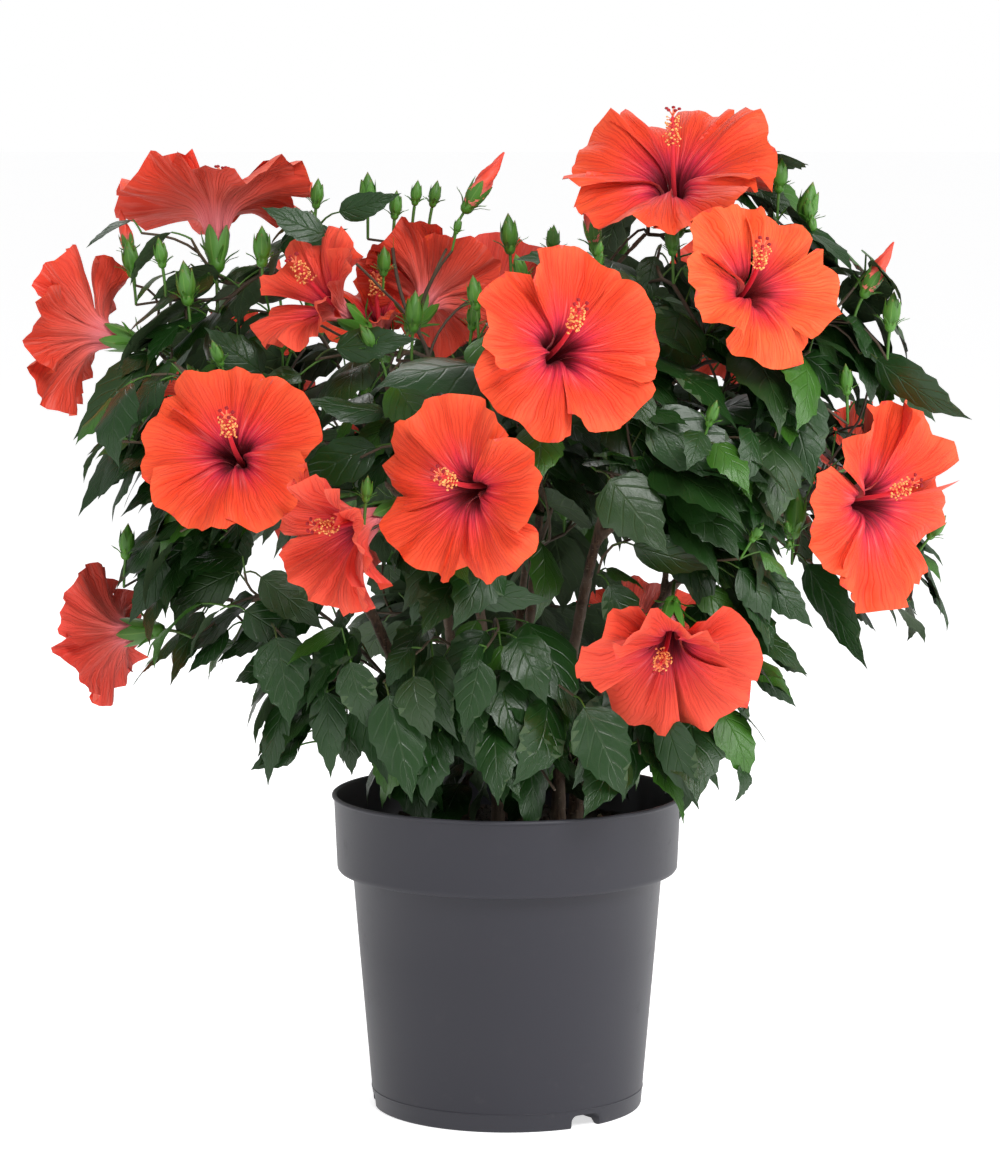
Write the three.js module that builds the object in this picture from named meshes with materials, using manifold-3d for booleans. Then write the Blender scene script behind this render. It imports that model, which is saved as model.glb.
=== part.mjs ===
// A potted hibiscus shrub in flower: a plastic nursery pot with its root ball, woody stems that
// rise from the soil, boughs that carry the parts of the crown, and masses of leaves and blossom.
// Millimetres, +Z up, the origin on the axis of the pot at its flat underside, -Y the front.
import * as THREE from 'three';
import { mergeVertices } from 'three/addons/utils/BufferGeometryUtils.js';
import Module from 'manifold-3d';

const wasm = await Module();
wasm.setup();

// ---- driving dimensions -------------------------------------------------------------------

const GAP = 0.35;                 // clearance kept between neighbouring solids
const POT_HEIGHT = 216;
const RIM_RADIUS = 120;           // outside of the rolled rim
const LIP_TOP_RADIUS = 118.4;     // outside of the lip band, below the rim
const LIP_FOOT_RADIUS = 116.4;
const LIP_HEIGHT = 53;
const BODY_TOP_RADIUS = 106;      // the wall just under the lip
const BASE_RADIUS = 92;
const WALL = 2.4;
const FLOOR_THICKNESS = 12;
const RIM_ROLL = 2.6;             // height of the rolled rim
const RIM_EDGE = 0.8;
const RIM_STEP = 1;               // height of the slope under the rolled rim
const BASE_CHAMFER = 1.5;
const LIP_TURN_IN = 3;            // how far the rounded foot of the lip turns in, and up
const LIP_TURN_UP = 4;
const LIP_FOOT_DRAFT = 0.6;
const LIP_SLOPE_INSIDE = 5;
const POT_SIDES = 40;
const SOIL_LEVEL = 187;
const SOIL_DOME = 3;

const DRAIN_SLOTS = 3;
const DRAIN_TURN = -55;           // degrees from +X to the slot at the front right
const DRAIN_WIDTH = 23;
const DRAIN_HEIGHT = 9;
const DRAIN_LENGTH = 36;          // to each side of the base's edge

const STEM_SIDES = 7;
const STEM_STEPS = 7;
const STEM_FLARE = 1.35;          // how much wider a stem is at the soil
const FLARE_SHARE = 1 / 12;       // of the stem's length
const STEM_UPRIGHT = 0.45;        // how far a stem rises before it leans, as a share
const STEM_FOOT = 1;              // a stem's curve starts this far above the soil
const STEM_CUT = 1.75;            // and is cut flat at this height above it
const BOUGH_SIDES = 5;
const BOUGH_STEPS = 6;
const BOUGH_UPRIGHT = 0.3;
const BOUGH_TAPER = [0.8, 0.55];  // radii at both ends, as shares of the stem's
const LEAST_BOUGH = 60;           // a shorter bough is hidden in its mass, in cubic millimetres

const LEAF_CLEARANCE = 6;         // the lowest leaves stay this far above the soil
const POT_CLEARANCE = 1;          // and this far from the pot

const LOBES = 7;                  // sprays that stand out of each mass
const LOBE_HEIGHT = 0.24;         // as a share of the mass's reach
const MASS_DETAIL = 2;
const LOBE_SHARPNESS = 9;

// Woody stems: where each leaves the soil, where it ends, and its radius at both ends.
const STEMS = {
  stem_left: { foot: [-53, -22], top: [-118, -44, 392], radii: [5.0, 2.7] },
  stem_middle_left: { foot: [-30, 30], top: [-62, 54, 440], radii: [4.1, 2.3] },
  stem_middle: { foot: [-6, -24], top: [-36, -56, 440], radii: [4.2, 2.4] },
  stem_middle_right: { foot: [10, 12], top: [34, 34, 500], radii: [3.9, 2.2] },
  stem_front_right: { foot: [34, -28], top: [80, -60, 470], radii: [4.5, 2.6] },
  stem_right: { foot: [46, 16], top: [130, 10, 376], radii: [4.7, 2.7] },
  stem_back: { foot: [2, 50], top: [14, 100, 372], radii: [3.9, 2.2] },
};

// Masses of foliage: the middle of each, its reach along X, Y and Z, the stem that carries it
// and how far up that stem its bough leaves.
const MASSES = {
  far_left: { at: [-270, -8, 536], reach: [58, 62, 58], from: ['stem_left', 0.97] },
  top_left: { at: [-194, 14, 602], reach: [70, 84, 51], from: ['stem_middle_left', 0.95] },
  left_front: { at: [-202, -96, 456], reach: [80, 72, 72], from: ['stem_left', 0.88] },
  left_low: { at: [-240, -24, 334], reach: [59, 64, 54], from: ['stem_left', 0.7] },
  foot_left: { at: [-124, -72, 308], reach: [54, 72, 76], from: ['stem_left', 0.42] },
  top_middle: { at: [-80, -18, 576], reach: [85, 84, 72], from: ['stem_middle', 0.98] },
  centre_front: { at: [-62, -166, 428], reach: [88, 78, 80], from: ['stem_middle', 0.72] },
  centre_right: { at: [42, -134, 526], reach: [68, 78, 67], from: ['stem_front_right', 0.96] },
  foot_front: { at: [-10, -86, 286], reach: [75, 64, 79], from: ['stem_middle', 0.34] },
  top_right: { at: [130, 10, 630], reach: [85, 86, 50], from: ['stem_middle_right', 0.98] },
  right_upper: { at: [174, -60, 550], reach: [88, 80, 67], from: ['stem_front_right', 0.86] },
  right_front: { at: [136, -108, 430], reach: [78, 74, 75], from: ['stem_front_right', 0.66] },
  far_right: { at: [250, -6, 410], reach: [62, 74, 108], from: ['stem_right', 0.97] },
  foot_right: { at: [116, -100, 294], reach: [82, 72, 77], from: ['stem_right', 0.5] },
  back_top: { at: [10, 118, 518], reach: [114, 94, 74], from: ['stem_middle_right', 0.86] },
  back_left: { at: [-152, 134, 462], reach: [108, 98, 98], from: ['stem_middle_left', 0.66] },
  back_right: { at: [158, 134, 464], reach: [108, 98, 98], from: ['stem_right', 0.82] },
  back_middle: { at: [2, 184, 400], reach: [94, 68, 88], from: ['stem_back', 0.94] },
  back_low: { at: [0, 124, 302], reach: [132, 84, 82], from: ['stem_back', 0.5] },
  middle: { at: [26, 2, 436], reach: [72, 66, 76], from: ['stem_middle_right', 0.45] },
};

// ---- solids -------------------------------------------------------------------------------

function solidOf(geometry) {
  geometry.deleteAttribute('normal');
  geometry.deleteAttribute('uv');
  const merged = mergeVertices(geometry, 1e-4);
  return new wasm.Manifold(new wasm.Mesh({
    numProp: 3,
    vertProperties: new Float32Array(merged.attributes.position.array),
    triVerts: new Uint32Array(merged.index.array),
  }));
}

function geometryOf(solid) {
  const mesh = solid.getMesh();
  const geometry = new THREE.BufferGeometry();
  geometry.setAttribute('position', new THREE.BufferAttribute(mesh.vertProperties, 3));
  geometry.setIndex(new THREE.BufferAttribute(mesh.triVerts, 1));
  geometry.computeVertexNormals();
  return geometry;
}

function revolve(profile) {
  const points = profile.map(([radius, height]) => new THREE.Vector2(radius, height));
  return new THREE.LatheGeometry(points, POT_SIDES).rotateX(Math.PI / 2);
}

// ---- pot and root ball --------------------------------------------------------------------

function wallRadius(height) {
  const share = height / (POT_HEIGHT - LIP_HEIGHT);
  return BASE_RADIUS + (BODY_TOP_RADIUS - BASE_RADIUS) * share;
}

function buildPot() {
  const lipFoot = POT_HEIGHT - LIP_HEIGHT;
  const rollFoot = POT_HEIGHT - RIM_ROLL;
  const outside = [
    [0, 0], [BASE_RADIUS - BASE_CHAMFER, 0], [BASE_RADIUS, BASE_CHAMFER], [BODY_TOP_RADIUS, lipFoot],
    [LIP_FOOT_RADIUS - LIP_TURN_IN, lipFoot + LIP_FOOT_DRAFT], [LIP_FOOT_RADIUS, lipFoot + LIP_TURN_UP],
    [LIP_TOP_RADIUS, rollFoot - RIM_STEP], [RIM_RADIUS, rollFoot], [RIM_RADIUS, POT_HEIGHT - RIM_EDGE],
    [RIM_RADIUS - RIM_EDGE, POT_HEIGHT],
  ];
  const inside = [
    [LIP_TOP_RADIUS - WALL, POT_HEIGHT - RIM_EDGE], [LIP_FOOT_RADIUS - WALL, lipFoot + LIP_SLOPE_INSIDE],
    [BODY_TOP_RADIUS - WALL, lipFoot - WALL], [wallRadius(FLOOR_THICKNESS) - WALL, FLOOR_THICKNESS],
    [0, FLOOR_THICKNESS],
  ];
  let pot = solidOf(revolve([...outside, ...inside]));
  for (let slot = 0; slot < DRAIN_SLOTS; slot += 1) {
    const turn = THREE.MathUtils.degToRad(DRAIN_TURN - slot * 360 / DRAIN_SLOTS);
    const cutter = new THREE.BoxGeometry(DRAIN_LENGTH * 2, DRAIN_WIDTH, DRAIN_HEIGHT * 2);
    cutter.translate(BASE_RADIUS, 0, 0).rotateZ(turn);
    pot = pot.subtract(solidOf(cutter));
  }
  return pot;
}

function buildRootBall(inset) {
  const lipFoot = POT_HEIGHT - LIP_HEIGHT;
  const lift = FLOOR_THICKNESS + inset;
  return solidOf(revolve([
    [0, lift], [wallRadius(FLOOR_THICKNESS) - WALL - inset, lift],
    [BODY_TOP_RADIUS - WALL - inset, lipFoot - WALL],
    [LIP_FOOT_RADIUS - WALL - inset, lipFoot + LIP_SLOPE_INSIDE + inset],
    [LIP_FOOT_RADIUS - WALL, SOIL_LEVEL], [0, SOIL_LEVEL + SOIL_DOME],
  ]));
}

// ---- limbs --------------------------------------------------------------------------------

// A limb that leaves its foot upright and leans over towards its tip.
function limbCurve(foot, tip, uprightShare) {
  const rise = foot.distanceTo(tip) * uprightShare;
  const middle = foot.clone().add(new THREE.Vector3(0, 0, rise));
  return new THREE.QuadraticBezierCurve3(foot, middle, tip);
}

// A closed round limb along a curve, with a radius for each share of its length.
function taperedLimb(curve, radiusAt, sides, steps) {
  const limb = new THREE.CylinderGeometry(1, 1, 1, sides, steps);
  const position = limb.attributes.position;
  const frames = curve.computeFrenetFrames(steps, false);
  const point = new THREE.Vector3();
  for (let index = 0; index < position.count; index += 1) {
    const share = THREE.MathUtils.clamp(position.getY(index) + 0.5, 0, 1);
    const step = Math.round(share * steps);
    const radius = radiusAt(share);
    point.copy(curve.getPointAt(share));
    point.addScaledVector(frames.normals[step], position.getX(index) * radius);
    point.addScaledVector(frames.binormals[step], -position.getZ(index) * radius);
    position.setXYZ(index, point.x, point.y, point.z);
  }
  return limb;
}

const limbRadius = ([thick, thin], flare) => (share) =>
  THREE.MathUtils.lerp(thick, thin, share) * (1 + (flare - 1) * Math.max(0, 1 - share / FLARE_SHARE));

function stemCurve({ foot, top }) {
  const start = new THREE.Vector3(...foot, SOIL_LEVEL + SOIL_DOME + STEM_FOOT);
  return limbCurve(start, new THREE.Vector3(...top), STEM_UPRIGHT);
}

function buildStem(stem, grow) {
  const radii = stem.radii.map((radius) => radius + grow);
  const limb = taperedLimb(stemCurve(stem), limbRadius(radii, STEM_FLARE), STEM_SIDES, STEM_STEPS);
  return solidOf(limb);
}

// A stem is cut off flat where it meets the domed soil.
function cutAtSoil(stem) {
  const cut = SOIL_LEVEL + SOIL_DOME + STEM_CUT;
  return stem.trimByPlane([0, 0, 1], cut);
}

function boughCurve(mass) {
  const [stemName, share] = mass.from;
  const foot = stemCurve(STEMS[stemName]).getPointAt(share);
  return limbCurve(foot, new THREE.Vector3(...mass.at), BOUGH_UPRIGHT);
}

function buildBough(mass, grow) {
  const [stemName, share] = mass.from;
  const stemRadius = limbRadius(STEMS[stemName].radii, 1)(share);
  const radii = BOUGH_TAPER.map((taper) => stemRadius * taper + grow);
  return solidOf(taperedLimb(boughCurve(mass), limbRadius(radii, 1), BOUGH_SIDES, BOUGH_STEPS));
}

// ---- foliage ------------------------------------------------------------------------------

function seededRandom(seed) {
  let state = seed >>> 0;
  return () => {
    state = (state + 0x6d2b79f5) >>> 0;
    let value = Math.imul(state ^ (state >>> 15), state | 1);
    value ^= value + Math.imul(value ^ (value >>> 7), value | 61);
    return ((value ^ (value >>> 14)) >>> 0) / 4294967296;
  };
}

function randomDirection(random) {
  const height = random() * 2 - 1;
  const turn = random() * Math.PI * 2;
  const across = Math.sqrt(1 - height * height);
  return new THREE.Vector3(across * Math.cos(turn), across * Math.sin(turn), height);
}

// One uneven closed body: a ball with sprays standing out of it, fitted to the mass's reach.
function buildMass(mass, seed, grow) {
  const random = seededRandom(seed);
  const sprays = Array.from({ length: LOBES }, () => randomDirection(random));
  const ball = new THREE.IcosahedronGeometry(1, MASS_DETAIL);
  const position = ball.attributes.position;
  const point = new THREE.Vector3();
  for (let index = 0; index < position.count; index += 1) {
    point.fromBufferAttribute(position, index).normalize();
    const swell = sprays.reduce(
      (sum, spray) => sum + LOBE_HEIGHT * Math.exp(-LOBE_SHARPNESS * (1 - point.dot(spray))),
      1,
    );
    point.multiplyScalar(swell);
    position.setXYZ(index, point.x, point.y, point.z);
  }
  ball.computeBoundingBox();
  const size = ball.boundingBox.getSize(new THREE.Vector3());
  const reach = mass.reach.map((length) => 2 * (length + grow));
  ball.center();
  ball.scale(reach[0] / size.x, reach[1] / size.y, reach[2] / size.z);
  return solidOf(ball.translate(...mass.at));
}

// ---- assembly -----------------------------------------------------------------------------

const colour = (hex, roughness) =>
  new THREE.MeshStandardMaterial({ color: hex, roughness, metalness: 0 });

const MATERIALS = {
  pot: colour(0x55555f, 0.45),
  soil: colour(0x1d1712, 0.95),
  bark: colour(0x5a4030, 0.8),
  leaves: colour(0x1f4a24, 0.5),
};

const shrub = new THREE.Group();

function addPart(name, solid, material) {
  const part = new THREE.Mesh(geometryOf(solid), material);
  part.name = name;
  shrub.add(part);
}

const subtractAll = (solid, cutters) =>
  cutters.reduce((rest, cutter) => rest.subtract(cutter), solid);

const largest = (solid) =>
  solid.decompose().reduce((best, piece) => (piece.volume() > best.volume() ? piece : best));

// The piece of a cut limb that is still at its foot, or null where a mass hides it all.
function pieceAtFoot(solid, foot) {
  const distance = (piece) => {
    const { min, max } = piece.boundingBox();
    const box = new THREE.Box3(new THREE.Vector3(...min), new THREE.Vector3(...max));
    return box.getCenter(new THREE.Vector3()).distanceTo(foot);
  };
  const pieces = solid.decompose().filter((piece) => piece.volume() > LEAST_BOUGH);
  pieces.sort((one, other) => distance(one) - distance(other));
  return pieces[0] ?? null;
}

function upright(radius, low, high) {
  const cylinder = new THREE.CylinderGeometry(radius, radius, high - low, POT_SIDES);
  return solidOf(cylinder.rotateX(Math.PI / 2).translate(0, 0, (low + high) / 2));
}

// The room that leaves may not fill: the pot and its soil, with a small clearance.
function potRoom() {
  const lowestLeaf = SOIL_LEVEL + SOIL_DOME + LEAF_CLEARANCE;
  const mouth = upright(LIP_FOOT_RADIUS - WALL - POT_CLEARANCE, lowestLeaf, POT_HEIGHT * 2);
  const around = upright(RIM_RADIUS + POT_CLEARANCE, -POT_CLEARANCE, POT_HEIGHT + POT_CLEARANCE);
  return around.subtract(mouth);
}

addPart('pot', buildPot(), MATERIALS.pot);
addPart('root_ball', buildRootBall(GAP), MATERIALS.soil);

Object.entries(STEMS).forEach(([name, stem]) => {
  addPart(name, cutAtSoil(buildStem(stem, 0)), MATERIALS.bark);
});

const stemRooms = Object.values(STEMS).map((stem) => buildStem(stem, GAP));
const masses = Object.entries(MASSES).map(([name, mass], index) => ({ name, mass, seed: index + 1 }));

const boughRooms = [];
masses.forEach(({ name, mass, seed }) => {
  const cutters = [buildMass(mass, seed, GAP), ...stemRooms, ...boughRooms.map((room) => room.solid)];
  const bough = pieceAtFoot(subtractAll(buildBough(mass, 0), cutters), boughCurve(mass).getPoint(0));
  if (bough) {
    addPart(`bough_${name}`, bough, MATERIALS.bark);
    boughRooms.push({ name, solid: buildBough(mass, GAP) });
  }
});

const massRooms = [];
masses.forEach(({ name, mass, seed }) => {
  const foreignBoughs = boughRooms.filter((room) => room.name !== name).map((room) => room.solid);
  const cutters = [potRoom(), ...stemRooms, ...foreignBoughs, ...massRooms];
  addPart(`foliage_${name}`, largest(subtractAll(buildMass(mass, seed, 0), cutters)), MATERIALS.leaves);
  massRooms.push(buildMass(mass, seed, GAP));
});

export default shrub;
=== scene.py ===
"""A potted hibiscus shrub in flower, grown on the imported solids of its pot, stems and crown.

Laid out as an add-on and run as a script. Each operator makes one piece or a group of like
pieces, in metres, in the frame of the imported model.
"""

import functools
import math
from collections import namedtuple

import bpy
import numpy as np
from bpy.props import FloatProperty, FloatVectorProperty, IntProperty, PointerProperty
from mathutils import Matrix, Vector
from mathutils.bvhtree import BVHTree


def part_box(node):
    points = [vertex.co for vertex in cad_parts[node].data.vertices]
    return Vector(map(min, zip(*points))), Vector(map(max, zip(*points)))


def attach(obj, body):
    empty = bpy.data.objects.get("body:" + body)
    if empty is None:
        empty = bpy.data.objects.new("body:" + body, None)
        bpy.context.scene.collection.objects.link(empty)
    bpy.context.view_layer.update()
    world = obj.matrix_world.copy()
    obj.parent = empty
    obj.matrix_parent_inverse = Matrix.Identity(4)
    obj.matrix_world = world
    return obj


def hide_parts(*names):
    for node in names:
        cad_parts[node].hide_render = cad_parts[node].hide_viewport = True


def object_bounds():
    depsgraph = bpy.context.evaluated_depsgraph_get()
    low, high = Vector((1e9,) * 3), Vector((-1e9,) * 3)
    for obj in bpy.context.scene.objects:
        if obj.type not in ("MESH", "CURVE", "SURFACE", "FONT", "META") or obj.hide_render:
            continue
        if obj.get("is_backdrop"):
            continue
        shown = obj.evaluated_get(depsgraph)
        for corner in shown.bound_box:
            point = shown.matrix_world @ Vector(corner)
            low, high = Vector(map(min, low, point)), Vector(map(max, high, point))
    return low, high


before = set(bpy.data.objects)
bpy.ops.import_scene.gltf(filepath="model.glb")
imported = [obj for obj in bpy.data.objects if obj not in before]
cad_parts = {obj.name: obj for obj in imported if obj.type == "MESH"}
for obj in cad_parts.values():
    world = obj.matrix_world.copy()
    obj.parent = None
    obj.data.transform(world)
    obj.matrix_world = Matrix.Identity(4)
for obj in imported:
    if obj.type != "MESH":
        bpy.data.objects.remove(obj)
CAD_BOX = [list(corner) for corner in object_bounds()]

bl_info = {
    "name": "Potted hibiscus shrub",
    "version": (1, 0, 0),
    "blender": (4, 5, 0),
    "location": "3D View > Sidebar > Hibiscus",
    "description": "Grows a potted hibiscus shrub in flower on its packed solids",
    "category": "Add Mesh",
}

MM = 0.001
BODY = "root"
PATTERN_UV = "OFBake"          # the map that leaves, petals and buds read their pattern from
TILES = 4                      # each pattern map is a square of 4 by 4 tiles
TILE_MARGIN = 0.06
GOLDEN_TURN = math.radians(137.5)


# ---- settings -----------------------------------------------------------------------------

class ShrubSizes(bpy.types.PropertyGroup):
    """Sizes that shape the plant and its pot."""

    seed: IntProperty(
        name="Seed", description="Starts the branching rule and all variation", default=7)
    leaf_length: FloatProperty(
        name="Leaf length", description="Length of a full-grown blade",
        default=0.084, unit="LENGTH")
    leaf_width: FloatProperty(
        name="Leaf width", description="Widest part of a full-grown blade",
        default=0.047, unit="LENGTH")
    leaf_stalk: FloatProperty(
        name="Leaf stalk", description="Length of a full-grown leaf's stalk",
        default=0.021, unit="LENGTH")
    leaf_spacing: FloatProperty(
        name="Leaf spacing", description="Distance between leaves along a twig",
        default=0.0168, unit="LENGTH")
    shoot_room: FloatProperty(
        name="Room for a shoot", description="Side of the space that each shoot grows into",
        default=0.0415, unit="LENGTH")
    twig_radius: FloatProperty(
        name="Twig radius", description="Radius of a twig at its tip",
        default=0.0009, unit="LENGTH")
    lip_height: FloatProperty(
        name="Pot lip height", description="Height of the band under the pot's rim",
        default=0.053, unit="LENGTH")
    pot_base: FloatProperty(
        name="Pot base radius", description="Radius of the pot at its foot",
        default=0.092, unit="LENGTH")
    pot_body: FloatProperty(
        name="Pot body radius", description="Radius of the pot's wall just under its lip",
        default=0.106, unit="LENGTH")
    pot_wall: FloatProperty(
        name="Pot wall", description="Thickness of the pot's wall", default=0.0022, unit="LENGTH")
    notch_width: FloatProperty(
        name="Drain notch width", description="Width of each drain notch at the pot's foot",
        default=0.023, unit="LENGTH")
    notch_height: FloatProperty(
        name="Drain notch height", description="Height of each drain notch",
        default=0.009, unit="LENGTH")


class ShrubColours(bpy.types.PropertyGroup):
    """Base colours of the materials."""

    leaf: FloatVectorProperty(
        name="Leaf", description="Full-grown leaves", subtype="COLOR",
        default=(0.009, 0.040, 0.005))
    leaf_young: FloatVectorProperty(
        name="Young leaf", description="Leaves at the tips of shoots", subtype="COLOR",
        default=(0.040, 0.130, 0.012))
    leaf_old: FloatVectorProperty(
        name="Shaded leaf", description="The dull olive of older leaves", subtype="COLOR",
        default=(0.018, 0.046, 0.010))
    leaf_under: FloatVectorProperty(
        name="Leaf underside", description="The dull underside of the leaves", subtype="COLOR",
        default=(0.042, 0.078, 0.030))
    petal: FloatVectorProperty(
        name="Petal", description="The face of the petals", subtype="COLOR",
        default=(0.79, 0.054, 0.016))
    petal_edge: FloatVectorProperty(
        name="Petal edge", description="The paler margin of the petals", subtype="COLOR",
        default=(0.84, 0.088, 0.026))
    petal_orange: FloatVectorProperty(
        name="Orange petal", description="The petals of a newly opened blossom", subtype="COLOR",
        default=(0.88, 0.112, 0.028))
    petal_back: FloatVectorProperty(
        name="Petal back", description="The back of the petals", subtype="COLOR",
        default=(0.75, 0.058, 0.030))
    petal_eye: FloatVectorProperty(
        name="Petal eye", description="The dark eye of the blossom", subtype="COLOR",
        default=(0.11, 0.002, 0.018))
    green: FloatVectorProperty(
        name="Bud green", description="Calyxes, bracts and closed buds", subtype="COLOR",
        default=(0.050, 0.190, 0.010))
    bark: FloatVectorProperty(
        name="Bark", description="Woody stems", subtype="COLOR",
        default=(0.13, 0.075, 0.045))
    twig: FloatVectorProperty(
        name="Twig", description="Young wood", subtype="COLOR",
        default=(0.045, 0.028, 0.02))
    pot: FloatVectorProperty(
        name="Pot", description="The plastic of the pot", subtype="COLOR",
        default=(0.024, 0.024, 0.031))
    soil: FloatVectorProperty(
        name="Soil", description="Moist compost", subtype="COLOR",
        default=(0.012, 0.009, 0.007))


def sizes():
    return bpy.context.scene.shrub_sizes


def colours():
    return bpy.context.scene.shrub_colours


# ---- shader maths -------------------------------------------------------------------------

class Value:
    """A shader socket that takes part in ordinary arithmetic."""

    def __init__(self, shade, socket):
        self.shade = shade
        self.socket = socket

    def math(self, operation, *terms):
        inputs = dict(enumerate(terms))
        return self.shade.node("Math", {"operation": operation}, inputs)

    def __add__(self, other):
        return self.math("ADD", self, other)

    def __sub__(self, other):
        return self.math("SUBTRACT", self, other)

    def __rsub__(self, other):
        return self.math("SUBTRACT", other, self)

    def __mul__(self, other):
        return self.math("MULTIPLY", self, other)

    def __truediv__(self, other):
        return self.math("DIVIDE", self, other)

    def __abs__(self):
        return self.math("ABSOLUTE", self)

    def __pow__(self, other):
        return self.math("POWER", self, other)

    def floor(self):
        return self.math("FLOOR", self)

    def fraction(self):
        return self.math("FRACT", self)

    def over(self, limit):
        return self.math("GREATER_THAN", self, limit)

    def limit(self):
        return self.math("MINIMUM", self.math("MAXIMUM", self, 0.0), 1.0)

    __radd__ = __add__
    __rmul__ = __mul__


class Shade:
    """One material: its sockets come back as Values, so its maths reads as plain formulas."""

    def __init__(self, name):
        self.material = bpy.data.materials.new(name)
        self.material.use_nodes = True
        self.tree = self.material.node_tree
        self.surface = self.tree.nodes["Principled BSDF"]

    def node(self, kind, settings=None, inputs=None, output=0):
        made = self.tree.nodes.new("ShaderNode" + kind)
        for name, value in (settings or {}).items():
            setattr(made, name, value)
        for name, value in (inputs or {}).items():
            if isinstance(value, Value):
                self.tree.links.new(value.socket, made.inputs[name])
            else:
                made.inputs[name].default_value = value
        return Value(self, made.outputs[output])

    def axes(self, vector):
        first = self.node("SeparateXYZ", inputs={0: vector})
        return [Value(self, first.socket.node.outputs[axis]) for axis in range(3)]

    def vector(self, x, y, z=0.0):
        return self.node("CombineXYZ", inputs={0: x, 1: y, 2: z})

    def place(self):
        return self.node("TexCoord", output=3)

    def rise(self, value, low, high):
        """0 below low, 1 above high, and smooth between."""
        limits = {0: value, 1: low, 2: high, 3: 0.0, 4: 1.0}
        return self.node("MapRange", {"interpolation_type": "SMOOTHSTEP"}, limits)

    def noise(self, vector, scale, detail=2.0, roughness=0.5):
        inputs = {"Vector": vector, "Scale": scale, "Detail": detail, "Roughness": roughness}
        return self.node("TexNoise", inputs=inputs)

    def chance(self, vector):
        return self.node("TexWhiteNoise", {"noise_dimensions": "3D"}, {"Vector": vector})

    def mix(self, share, first, second):
        inputs = {0: share, 6: self.solid(first), 7: self.solid(second)}
        return self.node("Mix", {"data_type": "RGBA"}, inputs, output=2)

    def solid(self, colour):
        return colour if isinstance(colour, Value) else (*tuple(colour)[:3], 1.0)

    def stops(self, value, stops):
        """A colour that changes smoothly at each (start, end, colour) stop."""
        colour = stops[0][2]
        for start, end, following in stops[1:]:
            colour = self.mix(self.rise(value, start, end), colour, following)
        return colour

    def tiles(self):
        """The pattern map's cell, and the place across (-1 to 1) and along (0 to 1) inside it."""
        x, y, _ = self.axes(self.node("UVMap", {"uv_map": PATTERN_UV}))
        x, y = x * TILES, y * TILES
        column, row = x.floor(), y.floor()
        room = 1 - 2 * TILE_MARGIN
        across = ((x.fraction() - TILE_MARGIN) / room) * 2 - 1
        along = (y.fraction() - TILE_MARGIN) / room
        return column, row, across, along

    def finish(self, base, roughness, height=None, strength=0.3, depth=0.5 * MM, **fixed):
        for name, value in {"Base Color": base, "Roughness": roughness, **fixed}.items():
            if isinstance(value, Value):
                self.tree.links.new(value.socket, self.surface.inputs[name])
            else:
                self.surface.inputs[name].default_value = value
        if height is not None:
            inputs = {"Height": height, "Strength": strength, "Distance": depth}
            bump = self.node("Bump", inputs=inputs)
            self.tree.links.new(bump.socket, self.surface.inputs["Normal"])
        return self.material


def line(shade, value, width):
    """1 on a thin line where value is 0, and 0 away from it."""
    return 1 - shade.rise(abs(value), 0.0, width)


@functools.cache
def leaf_material():
    """Row 0 and 1 of the pattern are full-grown faces, row 2 undersides, row 3 young leaves."""
    shade = Shade("leaf")
    look = colours()
    column, row, across, along = shade.tiles()
    chance = shade.chance(shade.vector(column, row, 0.5))
    grain = shade.noise(shade.vector(across * 0.5 + column, along + row), 9.0, 3.0)
    young = row.over(2.5)
    under = row.over(1.5) - young
    side = abs(across)
    fine = shade.noise(shade.vector(across * 0.5 + column, along + row), 42.0, 2.0)
    branch = ((along - side * 0.30) * 6.0).fraction() - 0.5
    ribs = line(shade, branch, 0.12) * (1 - shade.rise(side, 0.70, 0.95))
    midrib = line(shade, side, 0.055)
    spread = line(shade, side - along * 1.25, 0.05) * (1 - shade.rise(along, 0.35, 0.6))
    vein = (midrib + ribs * 0.55 + spread * 0.7).limit()
    full = shade.mix(shade.rise(chance, 0.55, 0.95), look.leaf, look.leaf_old)
    blade = shade.mix(young, full, look.leaf_young)
    blade = shade.mix(grain * 0.5, blade, shade.mix(0.5, blade, (0.004, 0.02, 0.006)))
    blade = shade.mix(under, blade, look.leaf_under)
    base = shade.mix(vein * (0.10 + under * 0.3), blade, (0.085, 0.16, 0.045))
    roughness = 0.24 + grain * 0.16 + vein * 0.08 + under * 0.32
    height = grain * 0.7 + fine * 0.34 - ribs * 0.7 - midrib
    return shade.finish(base, roughness, height, 0.5, 1.0 * MM, **{"Specular IOR Level": 0.40})


# The tints of the petals besides their main colours: the eye's, from its dark heart outwards,
# then those of the face, among them a painted shade for its crinkles, then those of the back.
EYE_WINE = (0.27, 0.004, 0.032)
EYE_ROSE = (0.58, 0.013, 0.052)
EYE_CORAL = (0.78, 0.034, 0.034)
GLOW_PINK = (0.93, 0.30, 0.36)
VEIN_RED = (0.48, 0.015, 0.012)
# Painted shade: a darker red laid over the crinkled parts of the petal's face.
PAINTED_SHADE_RED = (0.66, 0.026, 0.010)
FLUSH_PINK = (0.82, 0.10, 0.085)
BACK_FOOT_PINK = (0.88, 0.24, 0.27)
BACK_CORAL = (0.82, 0.115, 0.085)
BACK_FIBRE_PINK = (0.86, 0.34, 0.28)
BACK_VEIN_RED = (0.50, 0.022, 0.020)


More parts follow.
